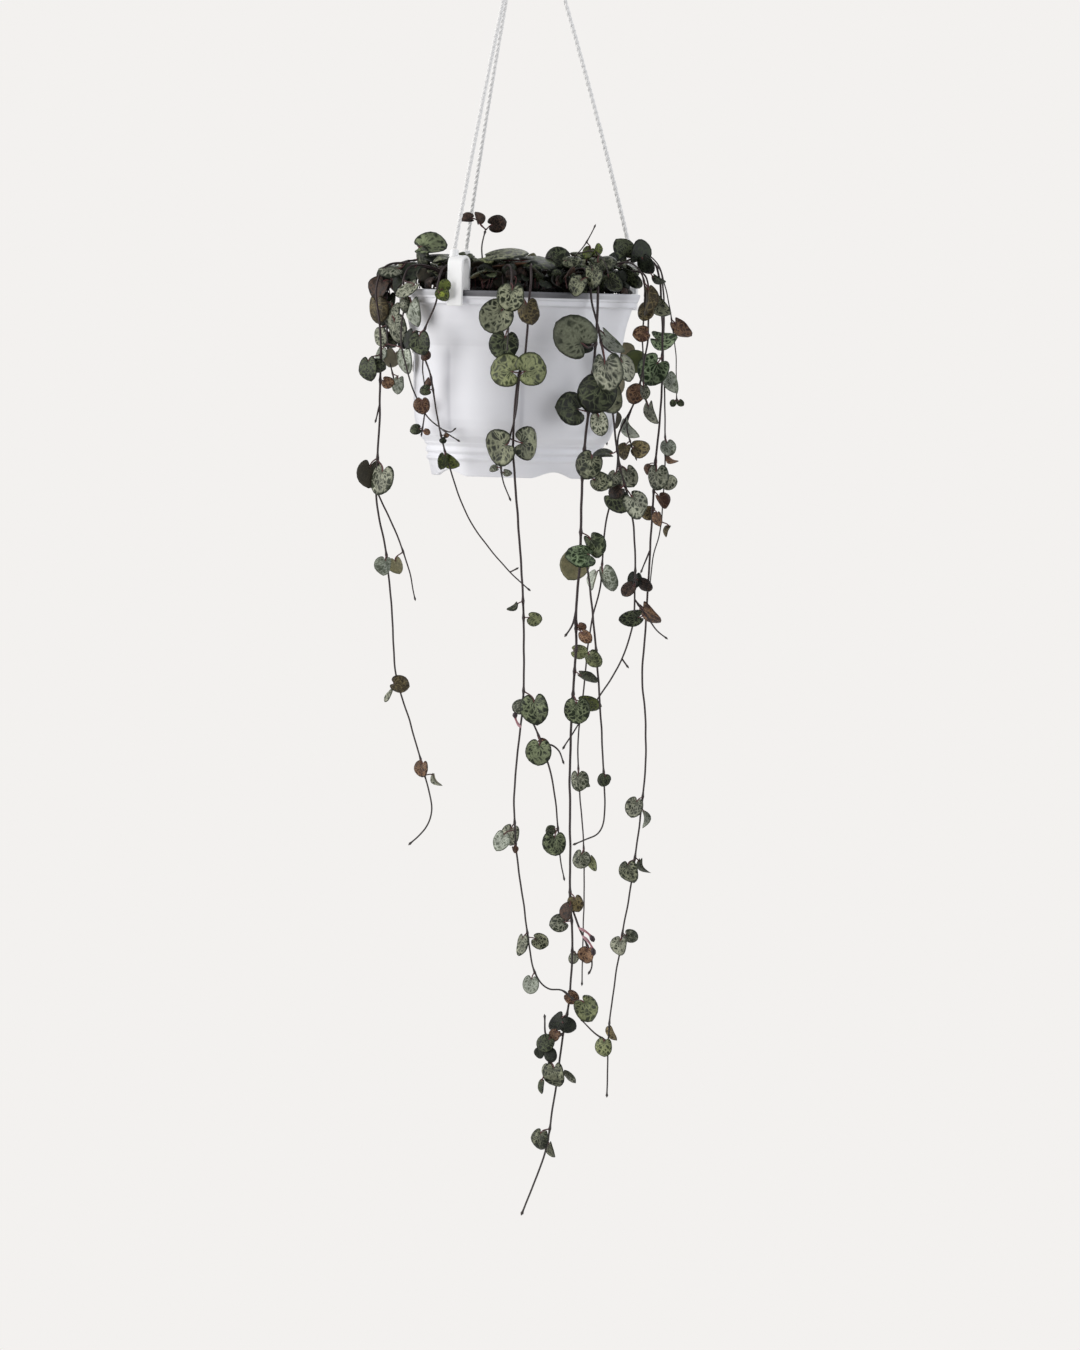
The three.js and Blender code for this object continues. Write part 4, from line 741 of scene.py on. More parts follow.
class Finish:
    """A material under construction. Each method that works something out adds one node for it and gives back
    what the node puts out."""

    def __init__(self, name):
        self.material = bpy.data.materials.new(name)
        self.material.use_nodes = True
        self.nodes = self.material.node_tree.nodes
        self.links = self.material.node_tree.links
        self.shader = self.nodes["Principled BSDF"]

    def put(self, socket, value):
        """Gives a socket a plain value or another node's output."""
        if isinstance(value, bpy.types.NodeSocket):
            self.links.new(value, socket)
        elif socket.type == "RGBA" and len(value) == 3:
            socket.default_value = (*value, 1)
        else:
            socket.default_value = value

    def node(self, kind, inputs, out=0, **settings):
        """A node with its inputs by name or number and its settings. It gives one of its outputs."""
        made = self.nodes.new(kind)
        for name, value in settings.items():
            setattr(made, name, value)
        for key, value in inputs.items():
            self.put(made.inputs[key], value)
        return made.outputs[out]

    def math(self, operation, *values):
        """An operation on up to three numbers."""
        return self.node("ShaderNodeMath", dict(enumerate(values)), operation=operation)

    def distance(self, x, y):
        """The distance of a flat point from the origin: the root of the sum of its squares."""
        squares = self.math("ADD", self.math("POWER", x, 2.0), self.math("POWER", y, 2.0))
        return self.math("SQRT", squares)

    def mix(self, share, one, other, blend="MIX"):
        """One colour with a share of another mixed or multiplied in."""
        made = {0: share, 6: one, 7: other}
        return self.node("ShaderNodeMix", made, out=2, data_type="RGBA", blend_type=blend)

    def step(self, value, low, high, start=0.0, end=1.0):
        """A smooth step from start, where a value is low or less, to end, where it is high or more."""
        made = {0: value, 1: low, 2: high, 3: start, 4: end}
        return self.node("ShaderNodeMapRange", made, interpolation_type="SMOOTHSTEP")

    def place(self):
        """Where the point lies in the model, in metres."""
        return self.node("ShaderNodeTexCoord", {}, out="Object")

    def attribute(self, name):
        """A vector that the mesh carries at its points."""
        return self.node("ShaderNodeAttribute", {}, out="Vector", attribute_name=name)

    def split(self, vector):
        """The three numbers of a vector."""
        made = self.nodes.new("ShaderNodeSeparateXYZ")
        self.links.new(vector, made.inputs[0])
        return made.outputs

    def joined(self, x, y, z):
        """The vector of three numbers."""
        return self.node("ShaderNodeCombineXYZ", {0: x, 1: y, 2: z})

    def noise(self, vector, scale, detail=2.0, out=0):
        """Smooth noise around 0.5, with about scale lumps to a unit of the vector and detail finer layers."""
        made = {"Vector": vector, "Scale": scale, "Detail": detail}
        return self.node("ShaderNodeTexNoise", made, out=out)

    def cracks(self, vector, scale):
        """The distance from the edges of a net of cells."""
        made = {"Vector": vector, "Scale": scale}
        return self.node("ShaderNodeTexVoronoi", made, feature="DISTANCE_TO_EDGE")

    def bump(self, height, strength, distance):
        """Tilts the shading as if the surface stood height times distance, in metres, higher."""
        made = {"Strength": strength, "Distance": distance, "Height": height}
        self.put(self.shader.inputs["Normal"], self.node("ShaderNodeBump", made))

    def done(self, **sockets):
        """The finished material, with these values on the shader's sockets."""
        for name, value in sockets.items():
            self.put(self.shader.inputs[name.replace("_", " ")], value)
        return self.material


def plastic_ground(finish, where, colour):
    """What both plastics share: a very fine grain and a faint mottle, up to half way to a colour 4 % darker.
    It gives the mottle and the colour."""
    mottle = finish.noise(where, 60.0)
    finish.bump(finish.noise(where, 900.0), 0.08, 0.0002)
    darker = tuple(0.96 * channel for channel in colour)
    return mottle, finish.mix(finish.step(mottle, 0.35, 0.75, 0.0, 0.5), colour, darker)


def white_plastic(name, colour, roughness):
    """Moulded plastic, its roughness a little uneven with the mottle."""
    finish = Finish(name)
    mottle, shade = plastic_ground(finish, finish.place(), colour)
    gloss = finish.step(mottle, 0.3, 0.7, roughness - 0.04, roughness + 0.06)
    return finish.done(Base_Color=shade, Roughness=gloss, IOR=1.49)


def pot_plastic():
    """The pot's plastic. Painted shade darkens the top of its lip, most at the front middle where the leaves
    hang over it, and unevenly with noise, and painted shade greys the creases between its lobes."""
    finish = Finish("pot_shell_satin")
    where = finish.attribute("pot_place")
    x, y, z = finish.split(where)
    mottle, shade = plastic_ground(finish, where, tint(241, 241, 246))
    # Painted shade on the top of the lip: strongest at the front middle under the leaves, weaker to the sides
    # and at the back, patchy with noise.
    lip = finish.math("MULTIPLY", finish.step(z, -0.0034, -0.0028), finish.step(y, -0.05, -0.02, 1.0, 0.25))
    lip = finish.math("MULTIPLY", lip, finish.step(finish.math("ABSOLUTE", x), 0.025, 0.05, 1.0, 0.4))
    patchy_lip_shade = finish.step(finish.noise(where, 45.0, 3.0), 0.3, 0.7, 0.85, 1.0)
    shade = finish.mix(finish.math("MULTIPLY", lip, patchy_lip_shade), shade, tint(80, 80, 84))
    # Painted shade in the creases between the lobes.
    crease, _, _ = finish.split(finish.attribute("pot_crease"))
    shade = finish.mix(finish.math("MULTIPLY", crease, 0.45), shade, tint(150, 150, 160))
    return finish.done(Base_Color=shade, Roughness=finish.step(mottle, 0.3, 0.7, 0.38, 0.48), IOR=1.49)


def cord_fibre():
    """White twisted yarn: fine fibres along each ply, and painted shade in the grooves where the plies meet.
    """
    finish = Finish("strand_fibre")
    around, along, depth = finish.split(finish.attribute("strand_place"))
    fibres = finish.noise(finish.joined(finish.math("MULTIPLY", around, 9.0), along, 0.0), 2.0, 3.0)
    # Painted shade: greyer where the section is pinched into the groove between the plies.
    shade = finish.mix(finish.step(depth, 0.55, 0.95), (0.74, 0.73, 0.73), (0.92, 0.91, 0.9))
    shade = finish.mix(finish.step(fibres, 0.4, 0.65, 0.0, 0.25), shade, (0.7, 0.69, 0.68))
    finish.bump(fibres, 0.3, 0.0002)
    return finish.done(Base_Color=shade, Roughness=0.75)


def bark_mix():
    """Damp peat and bark: dark brown to near black, with paler crumbs."""
    finish = Finish("potting_mix_crumble")
    where = finish.place()
    lumps = finish.noise(where, 240.0, 4.0)
    crumbs = finish.noise(where, 900.0, 3.0)
    shade = finish.mix(finish.step(lumps, 0.4, 0.65), tint(15, 12, 10), tint(50, 37, 28))
    shade = finish.mix(finish.step(crumbs, 0.62, 0.75), shade, tint(88, 70, 52))
    finish.bump(finish.math("ADD", lumps, crumbs), 0.8, 0.0012)
    return finish.done(Base_Color=shade, Roughness=0.92)


def leaf_faces():
    """The marbled face. The distance and the angle from the stalk, both wavered by noise, are laid out as a
    square net of cells, which draws the cells out away from the stalk. Pale lines run between the dark cells,
    wider or narrower with blotches of noise, and pale veins leave the stalk like fingers, where the sine of
    the wavered angle is nearly 0. Near the stalk and at the margin the pale fades."""
    finish = Finish("leaf_marbled")
    across, along, rim = finish.split(finish.attribute("leaf_place"))
    shift_x, shift_y, cover = finish.split(finish.attribute("leaf_shift"))
    flat = finish.joined(finish.math("ADD", across, shift_x), finish.math("ADD", along, shift_y), shift_x)
    waver_x, waver_y, blotches = finish.split(finish.noise(flat, 4.5, 2.0, out="Color"))
    from_stalk = finish.math("SUBTRACT", along, NOTCH)
    angle = finish.math("ARCTAN2", across, from_stalk)
    reach = finish.distance(across, from_stalk)
    round_stalk = finish.math("MULTIPLY_ADD", waver_x, 1.5, finish.math("MULTIPLY", angle, 2.6))
    outwards = finish.math("MULTIPLY_ADD", waver_y, 1.5, finish.math("MULTIPLY", reach, 5.6))
    edges = finish.cracks(finish.joined(round_stalk, outwards, shift_y), 1.0)
    width = finish.math("MULTIPLY_ADD", blotches, 0.4, finish.math("MULTIPLY_ADD", cover, 0.26, -0.14))
    lines = finish.step(finish.math("SUBTRACT", edges, width), -0.1, 0.2, 1.0, 0.0)
    fingers = finish.math("MULTIPLY_ADD", angle, 2.6, finish.math("MULTIPLY", waver_x, 1.1))
    fingers = finish.math("ABSOLUTE", finish.math("SINE", fingers))
    veins = finish.step(finish.math("MULTIPLY", fingers, reach), 0.008, 0.04, 0.65, 0.0)
    margin = finish.step(rim, 0.84, 0.99, 1.0, 0.05)
    amount = finish.math("MULTIPLY", finish.math("MAXIMUM", lines, veins), margin)
    amount = finish.math("MULTIPLY", amount, finish.step(reach, 0.02, 0.16, 0.3, 1.0))
    shade = finish.mix(amount, finish.attribute("leaf_dark"), finish.attribute("leaf_pale"))
    fine = finish.step(finish.noise(flat, 22.0, 3.0), 0.3, 0.7, 0.8, 1.14)
    cloud = finish.step(finish.noise(flat, 1.9, 1.0), 0.36, 0.64, 0.72, 1.16)
    cloud = finish.math("MULTIPLY", cloud, fine)
    shade = finish.mix(1.0, shade, finish.joined(cloud, cloud, cloud), "MULTIPLY")
    finish.bump(finish.math("SUBTRACT", lines, veins), 0.3, 0.0003)
    gloss = finish.step(amount, 0.0, 1.0, 0.45, 0.6)
    return finish.done(Base_Color=shade, Roughness=gloss, IOR=1.36)


def leaf_backs():
    """The reverse: one dull colour with faint blotches, a raised net of veins and a darker margin."""
    finish = Finish("leaf_underside")
    across, along, rim = finish.split(finish.attribute("leaf_place"))
    shift_x, shift_y, _ = finish.split(finish.attribute("leaf_shift"))
    flat = finish.joined(finish.math("ADD", across, shift_x), finish.math("ADD", along, shift_y), shift_y)
    blotches = finish.step(finish.noise(flat, 5.0, 3.0), 0.35, 0.7, 0.0, 0.4)
    shade = finish.mix(blotches, finish.attribute("leaf_reverse"), finish.attribute("leaf_dark"))
    shade = finish.mix(finish.step(rim, 0.88, 0.99, 0.0, 0.6), shade, finish.attribute("leaf_dark"))
    finish.bump(finish.cracks(flat, 7.0), 0.25, 0.0003)
    return finish.done(Base_Color=shade, Roughness=0.6)


def stem_bark():
    """Thin stems: purple brown, greyer where they are young, and redder on the stalks, with dark blotches."""
    finish = Finish("stem_skin")
    young, red, _ = finish.split(finish.attribute("stem_tint"))
    shade = finish.mix(young, tint(48, 32, 33), tint(57, 52, 49))
    shade = finish.mix(red, shade, tint(104, 54, 52))
    blotches = finish.noise(finish.place(), 300.0, 3.0)
    shade = finish.mix(finish.step(blotches, 0.4, 0.7, 0.0, 0.45), shade, tint(30, 21, 21))
    finish.bump(blotches, 0.2, 0.0003)
    return finish.done(Base_Color=shade, Roughness=0.55)


def flower_skin():
    """A flower: dusky pink tube, nearly black head, fine darker streaks."""
    finish = Finish("flower_wax")
    share, _, _ = finish.split(finish.attribute("flower_place"))
    shade = finish.mix(finish.step(share, 0.1, 0.55), tint(190, 150, 156), tint(150, 92, 100))
    shade = finish.mix(finish.step(share, 0.62, 0.72), shade, tint(34, 20, 26))
    streaks = finish.noise(finish.place(), 900.0)
    shade = finish.mix(finish.step(streaks, 0.5, 0.7, 0.0, 0.3), shade, tint(96, 52, 60))
    return finish.done(Base_Color=shade, Roughness=0.5)


# The holder


def body_fade(z, low, rise):
    """1 on the pot's body, falling in straight lines to 0 at the collar and, over a rise, at a low end."""
    return np.clip((COLLAR_BOTTOM - z) / LOBE_FADE, 0, 1) * np.clip((z - low) / rise, 0, 1)


def lobe_inset(angle, z):
    """How far the pot's wall is drawn in: a sine to a power below 1, which makes round lobes with sharp
    valleys between them. They fade in below the collar and out above the foot."""
    wave = np.abs(np.sin(LOBES / 2 * (angle - LOBE_START))) ** 0.6
    return body_fade(z, BODY_BOTTOM - 1, 2) * LOBE_DEPTH * (wave - 1)


def pot():
    """The pot's profile turned round, its wall pressed in by the lobes, and the lowest points of its foot
    lifted in smooth arches, each a cosine to the power 1.4. The painted crease shade is a broad bell curve
    and a narrow one round each valley."""
    grid = turned(filled(rounded(POT_PROFILE, 0.6), 1.6), POT_COLUMNS)
    x, y, z = np.moveaxis(grid, -1, 0)
    angle, radius = np.arctan2(x, -y), np.hypot(x, y)
    scale = 1 + lobe_inset(angle, z) / radius
    off = np.abs((angle[..., None] - ARCH_AZIMUTHS + math.pi) % FULL_TURN - math.pi).min(axis=-1)
    lift = ARCH_HEIGHT * np.cos(np.clip(off * FOOT_RADIUS / ARCH_HALF_WIDTH, 0, 1) * math.pi / 2) ** 1.4
    z = z + lift * np.clip((ARCH_TOP - z) / 8, 0, 1)
    # Painted shade for the creases between the lobes: the finish greys the plastic by these values.
    lobe = FULL_TURN / LOBES
    off = ((angle - LOBE_START + lobe / 2) % lobe - lobe / 2) * radius
    crease = 0.55 * np.exp(-((off / 7) ** 2)) + 0.45 * np.exp(-((off / 1.1) ** 2))
    crease = body_fade(z, BODY_BOTTOM, 4) * crease
    shell = closed(np.stack([x * scale, y * scale, z], -1))
    skin = Skin("pot_shell")
    skin.grid(hung(shell), pot_place=shell * MM, pot_crease=closed(crease)[..., None])
    return skin.mesh()


def pot_floor():
    """The pot's floor, a plate with a ring of round drain holes cut through it."""
    skin, holes = Skin("pot_floor"), Skin("drain_holes")
    edge = FOOT_RADIUS + 1
    outline = [(0, FLOOR_BOTTOM), (edge, FLOOR_BOTTOM), (edge, FLOOR_TOP), (0, FLOOR_TOP)]
    skin.grid(hung(turned(rounded(outline, 0.3), 96)))
    low, high = FLOOR_BOTTOM - 3.5, FLOOR_TOP + 4.5
    bore = turned([(0, low), (DRAIN_HOLE_RADIUS, low), (DRAIN_HOLE_RADIUS, high), (0, high)], 24)
    for k in range(DRAIN_HOLES):
        holes.grid(hung(spun(bore + [DRAIN_CIRCLE_RADIUS, 0, 0], 360 * k / DRAIN_HOLES)))
    plate, cutter = (added(s.name, s.mesh()) for s in (skin, holes))
    cut = plate.modifiers.new("drain_holes", "BOOLEAN")
    cut.object = cutter
    cut.operation = "DIFFERENCE"
    plate.modifiers.new("slivers", "WELD").merge_threshold = 0.02 * MM
    mesh = bpy.data.meshes.new_from_object(plate.evaluated_get(bpy.context.evaluated_depsgraph_get()))
    # The plate goes before the result is given its name.
    for thing in (plate, cutter):
        bpy.data.meshes.remove(thing.data)
    mesh.name = skin.name
    return mesh


def potting_mix():
    """The plug of mix, a profile turned round whose dome is lumpy in three sizes, and bark chips and crumbs
    strewn on it: squat turned blobs, roughened, some of them on edge."""
    wall = [(42, FLOOR_TOP + 0.4), (43.4, -78), (47.2, -73), (49.9, -66), (51, -50), (51.3, -35)]
    wall += [(51.6, COLLAR_BOTTOM), (56.5, -7), (56, -4.8)]
    dome = [(DOME_RADIUS, -3.2), (48, -2), (40, 0.6), (30, 2.8), (15, 3.8), (0, MIX_TOP)]
    outline = filled(np.vstack([[(0, FLOOR_TOP + 0.4)], wall, dome]), 1.3)
    grid = turned(outline, 200)
    # Below the dome the plug stands a little off the pot's wall. The lumps fade in over 4 mm below the dome,
    # and the points on the axis stay where they are.
    top = np.clip((outline[:, 1] + 9) / 4, 0, 1)[:, None] * (outline[:, 0] > 0)[:, None]
    lumps = 0.9 * rough(grid, 14, 1) + 0.7 * rough(grid, 5, 2) + 0.5 * rough(grid, 2.6, 3)
    grid[..., :2] *= 1 - 0.012 * (grid[..., 2:] < -8)
    grid[..., 2] += top * lumps
    skin = Skin("potting_mix_heap")
    skin.grid(hung(grid))
    random = np.random.default_rng(7)
    for _ in range(CRUMBS):
        radius, azimuth = DOME_RADIUS * math.sqrt(random.random()), random.uniform(0, FULL_TURN)
        size = random.uniform(0.7, 2.4) * np.array([1, random.uniform(0.5, 0.9), random.uniform(0.3, 0.6)])
        blob = turned([(0, -1), (0.8, -0.6), (1, 0.1), (0.7, 0.75), (0, 1)], 7) * size
        blob *= 1 + 0.25 * rough(blob, 2.0, random.integers(1 << 30))[..., None]
        blob = spun(blob, random.uniform(0, 360))
        on_edge = random.random() < 0.3
        if on_edge:  # its height and depth change places, which mirrors it
            blob = blob[..., [0, 2, 1]]
        height = MIX_TOP - 6.8 * (radius / DOME_RADIUS) ** 2 + random.uniform(-0.4, 0.8)
        skin.grid(hung(blob + radius * level(azimuth) + height * UP), flip=on_edge)
    return skin.mesh()


def soft_oblong(thick, wide):
    """A closed oblong section with rounded corners: a superellipse of power 8."""
    ring = circle(40)
    return np.sign(ring) * np.abs(ring) ** 0.25 * [thick / 2, wide / 2]


def blunted(path, thick, wide):
    """A soft oblong carried along a path in the plane of X and Z. Over its first and last 0.6 mm it shrinks
    as a quarter circle does, so that its ends are soft."""
    section = soft_oblong(thick, wide)
    arc = lengths(path)
    inner = np.array([0.0, 0.12, 0.3, 0.6])
    marks = np.r_[inner, arc[(arc > 0.7) & (arc < arc[-1] - 0.7)], arc[-1] - inner[::-1]]
    shrink = 0.45 * (1 - quarter(np.clip(np.minimum(marks, arc[-1] - marks) / 0.6, 0, 1)))
    sizes = 1 - shrink[:, None, None] / np.abs(section).max(axis=0)
    return carried(points_at(path, marks), section * sizes, sideways=[0.0, 1.0, 0.0])


def clip(name, azimuth):
    """A strap bent over the rim: a rounded oblong section carried up the outer leg, round a half circle and
    down the inner leg. A tooth under the lip and a turned boss on top, which holds the strand, are part of
    it."""
    half_turn = np.linspace(0, math.pi, 17)
    bend = np.stack([np.cos(half_turn), np.sin(half_turn)], -1) * CLIP_BEND_RADIUS
    bend += [CLIP_RADIUS, CLIP_BEND_Z]
    line = np.vstack([
        np.linspace((CLIP_RADIUS + CLIP_BEND_RADIUS, CLIP_OUTER_LEG_Z), bend[0], 14)[:-1],
        bend,
        np.linspace(bend[-1], (CLIP_RADIUS - CLIP_BEND_RADIUS, CLIP_INNER_LEG_Z), 12)[1:],
    ])
    strap = np.stack([line[:, 0], np.zeros(len(line)), line[:, 1]], -1)
    tooth = np.linspace((CLIP_RADIUS + 3.2, 0, -5.5), (CLIP_RADIUS + 0.9, 0, -5.4), 6)
    foot = CLIP_BEND_Z + CLIP_BEND_RADIUS
    boss = [
        (0, foot), (3.0, foot), (2.5, foot + 0.9), (BOSS_RADIUS, foot + 1.6), (BOSS_RADIUS, BOSS_TOP - 0.3),
        (BOSS_RADIUS - 0.4, BOSS_TOP), (1.4, BOSS_TOP), (1.3, BOSS_TOP - 0.8), (0, BOSS_TOP - 0.8),
    ]
    skin = Skin(name)
    for shape in (
        blunted(strap, CLIP_THICKNESS, CLIP_WIDTH),
        blunted(tooth, 1.5, CLIP_WIDTH - 1.5),
        turned(rounded(boss, 0.3), 28) + [CLIP_RADIUS, BOSS_SIDEWAYS, 0],
    ):
        skin.grid(hung(spun(shape, azimuth)))
    return skin.mesh()


def strand_route(azimuth):
    """A strand's line from its boss to its socket: straight but for a slight outward bow, a parabola."""
    t = np.linspace(0, 1, STRAND_POINTS)[:, None]
    bottom = hung(spun([CLIP_RADIUS, BOSS_SIDEWAYS, BOSS_TOP + STRAND_SEAT_GAP], azimuth))
    top = hung(spun([SOCKET_CIRCLE_RADIUS, 0, SOCKET_BOTTOM - STRAND_SEAT_GAP], azimuth), 0)
    outwards = hung(spun([1.0, 0, 0], azimuth), 0)
    return bottom * (1 - t) + top * t + 4 * t * (1 - t) * STRAND_BOW * outwards


def strand(name, azimuth):
    """Two plies twisted round each other: a circle pinched on two sides, by 1 less a power of the cosine, and
    turned once in each lay as it goes along. Where its ends are held it is a plain round cord."""
    path = spaced(strand_route(azimuth), 0.45)
    arc = lengths(path)[:, None]
    angle = angles(20)
    held = np.clip(np.minimum(arc, arc[-1] - arc) / 2.0, 0, 1)
    pinch = 0.34 * held * (1 - np.abs(np.cos(angle)) ** 0.8)
    turn = angle + FULL_TURN * arc / STRAND_LAY
    wide = STRAND_DIAMETER / 2 * (1 - 0.08 * rough(path, 9, 11)[:, None] ** 2)
    section = np.stack([np.cos(turn), np.sin(turn)], -1) * (wide * (1 - pinch))[..., None]
    # The third number, 1 less the pinch, sets the painted shade in the grooves between the plies.
    place = np.stack(np.broadcast_arrays(angle, arc, 1 - pinch), -1)
    skin = Skin(name)
    skin.grid(carried(path, section), strand_place=ended(place))
    return skin.mesh(), path


def hook():
    """The top piece: an open bow of round rod on a neck, a round plate with a raised rim, and a socket with a
    lip under it for each strand. The bow's path is part of a circle, and a quarter circle rounds its tip. The
    neck and plate are one turned profile, and a socket is another."""
    skin = Skin("hook_moulding")
    bow_radius = HOOK_INNER_RADIUS + HOOK_ROD_RADIUS
    angle = np.linspace(1.5 * math.pi, HOOK_END, 60)
    bow = np.stack([np.cos(angle), 0 * angle, np.sin(angle)], -1)
    bow = bow * bow_radius - [0, 0, HOOK_INNER_RADIUS]
    arc = lengths(bow)
    sizes = quarter(np.clip((arc[-1] - arc) / HOOK_ROD_RADIUS, 0, 1)) + 0.02
    skin.grid(hung(carried(bow, circle(24) * HOOK_ROD_RADIUS, sizes), 0))
    crown = -HOOK_INNER_RADIUS - bow_radius
    rib = PLATE_RADIUS - 2.2
    outline = [
        (0, PLATE_BOTTOM), (PLATE_RADIUS, PLATE_BOTTOM), (PLATE_RADIUS, PLATE_TOP), (rib + 0.4, PLATE_TOP),
        (rib, PLATE_TOP - 0.8), (5.2, PLATE_TOP - 0.8), (3.4, PLATE_TOP + 0.8), (2.9, crown - 1),
        (2.6, crown + 1), (1.2, crown + 2.4), (0, crown + 2.4),
    ]
    skin.grid(hung(turned(filled(rounded(outline, 0.5), 1.5), 64), 0))
    socket = [
        (0, SOCKET_BOTTOM + 0.7), (1.5, SOCKET_BOTTOM + 0.7), (1.7, SOCKET_BOTTOM),
        (SOCKET_RADIUS, SOCKET_BOTTOM), (SOCKET_RADIUS, SOCKET_BOTTOM + 1.2),
        (SOCKET_RADIUS - 0.3, SOCKET_BOTTOM + 1.5), (SOCKET_RADIUS - 0.1, PLATE_BOTTOM - 0.4),
        (SOCKET_RADIUS + 0.6, PLATE_BOTTOM + 0.2), (0, PLATE_BOTTOM + 0.2),
    ]
    socket = turned(rounded(socket, 0.25), 28) + [SOCKET_CIRCLE_RADIUS, 0, 0]
    for azimuth in STRANDS.values():
        skin.grid(hung(spun(socket, azimuth), 0))
    return skin.mesh()


# The plant


def placed_leaf(x, y, z, width, lean, turn, tone, tilt=0):
    """A leaf given as its middle, width, the directions of its tip and face, and its tone. Each
    turn is the cosine of an angle times a direction plus its sine times the direction square to it."""
    lean, turn, tilt = np.radians([lean, turn, tilt])
    tip = np.array([math.sin(lean), 0, -math.cos(lean)])
    face = np.array([0.0, -1.0, 0.0])
    across = np.cross(tip, face)
    face, across = (
        face * math.cos(turn) + np.cross(tip, face) * math.sin(turn),
        across * math.cos(turn) + np.cross(tip, across) * math.sin(turn),
    )
    tip, face = (
        tip * math.cos(tilt) + np.cross(across, tip) * math.sin(tilt),
        face * math.cos(tilt) + np.cross(across, face) * math.sin(tilt),
    )
    return np.array([x, y, z], float), width, tip, face, tone


def round_pot(azimuth, radius, z):
    """A point at an azimuth from +X and a radius from the middle of the pot's tilted rim."""
    return radius * level(azimuth) + [RIM_Z * math.sin(HANG_TILT), 0, z]


def facing(tip, wanted):
    """The face wanted for a leaf less its share along the tip, so that it is square to the tip."""
    return unit(wanted - tip * (tip @ wanted))


def crown_shoot(azimuth, start, height):
    """A short shoot that lies on the mix, curling outwards, with pairs of leaves that face up, each tilted
    its own way by a sine and a cosine. The smaller leaf of each pair is only seen, not felt."""
    turn = math.radians(azimuth)
    curl = 0.04 if start > 24 else -0.05
    points = [
        round_pot(turn + curl * k, start + reach, height + 2 * math.sin(k))
        for k, reach in enumerate((0, 7, 14, 20))
    ]
    leaves = []
    for k, point in enumerate(points[1:]):
        first = 1 if k % 2 else -1
        for side, width, rise in ((first, 12 - k, 2.5), (-first, 8.5 - k, 1.2)):
            heading = turn + curl * k + 0.8 * side
            pitch = 0.3 * math.sin(azimuth + 2 * k) - 0.15
            roll = 0.35 * math.cos(2 * azimuth + 3 * k)
            tip = unit(level(heading) + pitch * UP)
            face = facing(tip, np.array([-roll * math.sin(heading), roll * math.cos(heading), 1]))
            tone = "gdsdgvdp"[(azimuth + 3 * k + side) % 8]
            leaves.append((point + 0.62 * width * tip + rise * UP, width, tip, face, tone))
    return {"root": round_pot(turn, start - 6, 0)[:2], "stem": 0.55, "routes": [points], "leaves": leaves}


def back_vine(sideways, first, step, pairs):
    """A short vine that hangs down behind the pot, with its leaves in pairs that face outwards. It wanders
    and its leaves sway from pair to pair with the sine of the pair's number."""
    azimuth = math.pi / 2 - sideways / LIP_RADIUS
    over_rim = [(50, -205), (60, -206), (LIP_RADIUS + 4, -209), (LIP_RADIUS + 6, -218)]
    points = [round_pot(azimuth, radius, z) for radius, z in over_rim]
    hang_radius = LIP_RADIUS + 3.5
    leaves = []
    for k in range(pairs):
        aside = azimuth + 0.04 * math.sin(2 * k + sideways)
        points.append(round_pot(aside, hang_radius, first - step * k))
        outwards = level(aside)
        sidewards = np.cross(UP, outwards)
        for side in (-1, 1):
            sway = math.sin(3 * k + side + sideways)
            tip = unit(side * (0.6 + 0.3 * sway) * sidewards - 0.8 * UP + 0.25 * sway * outwards)
            face = facing(tip, outwards + 0.5 * sway * sidewards)
            width = 13.5 - 6 * k / pairs + sway
            middle = points[-1] + 0.6 * side * width * sidewards + 2.5 * outwards
            middle = middle - (0.35 + 0.25 * sway) * width * UP
            leaves.append((middle, width, tip, face, "gsvdog"[(2 * k + side + sideways) % 6]))
    points.append(round_pot(azimuth, hang_radius, first - step * pairs))
    return {"root": round_pot(azimuth, 42, 0)[:2], "stem": 0.6, "routes": [points], "leaves": leaves}


def stem_lines(vine):
    """The lines of a vine's stems. The first starts in the mix, and each other one on the nearest point of
    those before it."""
    lines = []
    for route in vine["routes"]:
        points = np.array(route, float)
        if lines:
            points[0] = nearest(np.vstack(lines), points[0])
        else:
            points = np.vstack([[(*vine["root"], z) for z in ROOT_DEPTHS], points])
        lines.append(curve_through(points, 1.2))
    return lines


def stem(skin, line, radius, joints, young_from):
    """A stem: a round tube that thins towards its tip. A bell curve swells it at each joint and at the bud
    near its tip, where a quarter circle closes it, and it wavers a little."""
    arc = lengths(line)
    share = arc / arc[-1]
    to_tip = arc[-1] - arc
    to_joint = np.linalg.norm(line[:, None] - joints[None], axis=-1).min(axis=1)
    size = radius * (1 - 0.3 * np.clip((share - 0.35) / 0.65, 0, 1))
    size *= 1 + 0.6 * np.exp(-((to_joint / 1.2) ** 2))
    size *= 1 + 0.8 * np.exp(-(((to_tip - 1.2) / 0.9) ** 2))
    size *= quarter(np.clip(to_tip / 1.2, 0, 1)) * 0.9 + 0.1
    waver = 0.22 * np.stack([rough(line, 13, seed) for seed in (21, 22, 23)], -1)
    line = line + waver * np.clip(arc / 9, 0, 1)[:, None]
    young = np.clip((share - young_from) / (1 - young_from), 0, 1)
    colour = np.stack([young, 0 * young, 0 * young], -1)[:, None]
    rings = carried(line, circle(8) * size[:, None, None])
    skin.grid(rings, stem_tint=ended(colour))


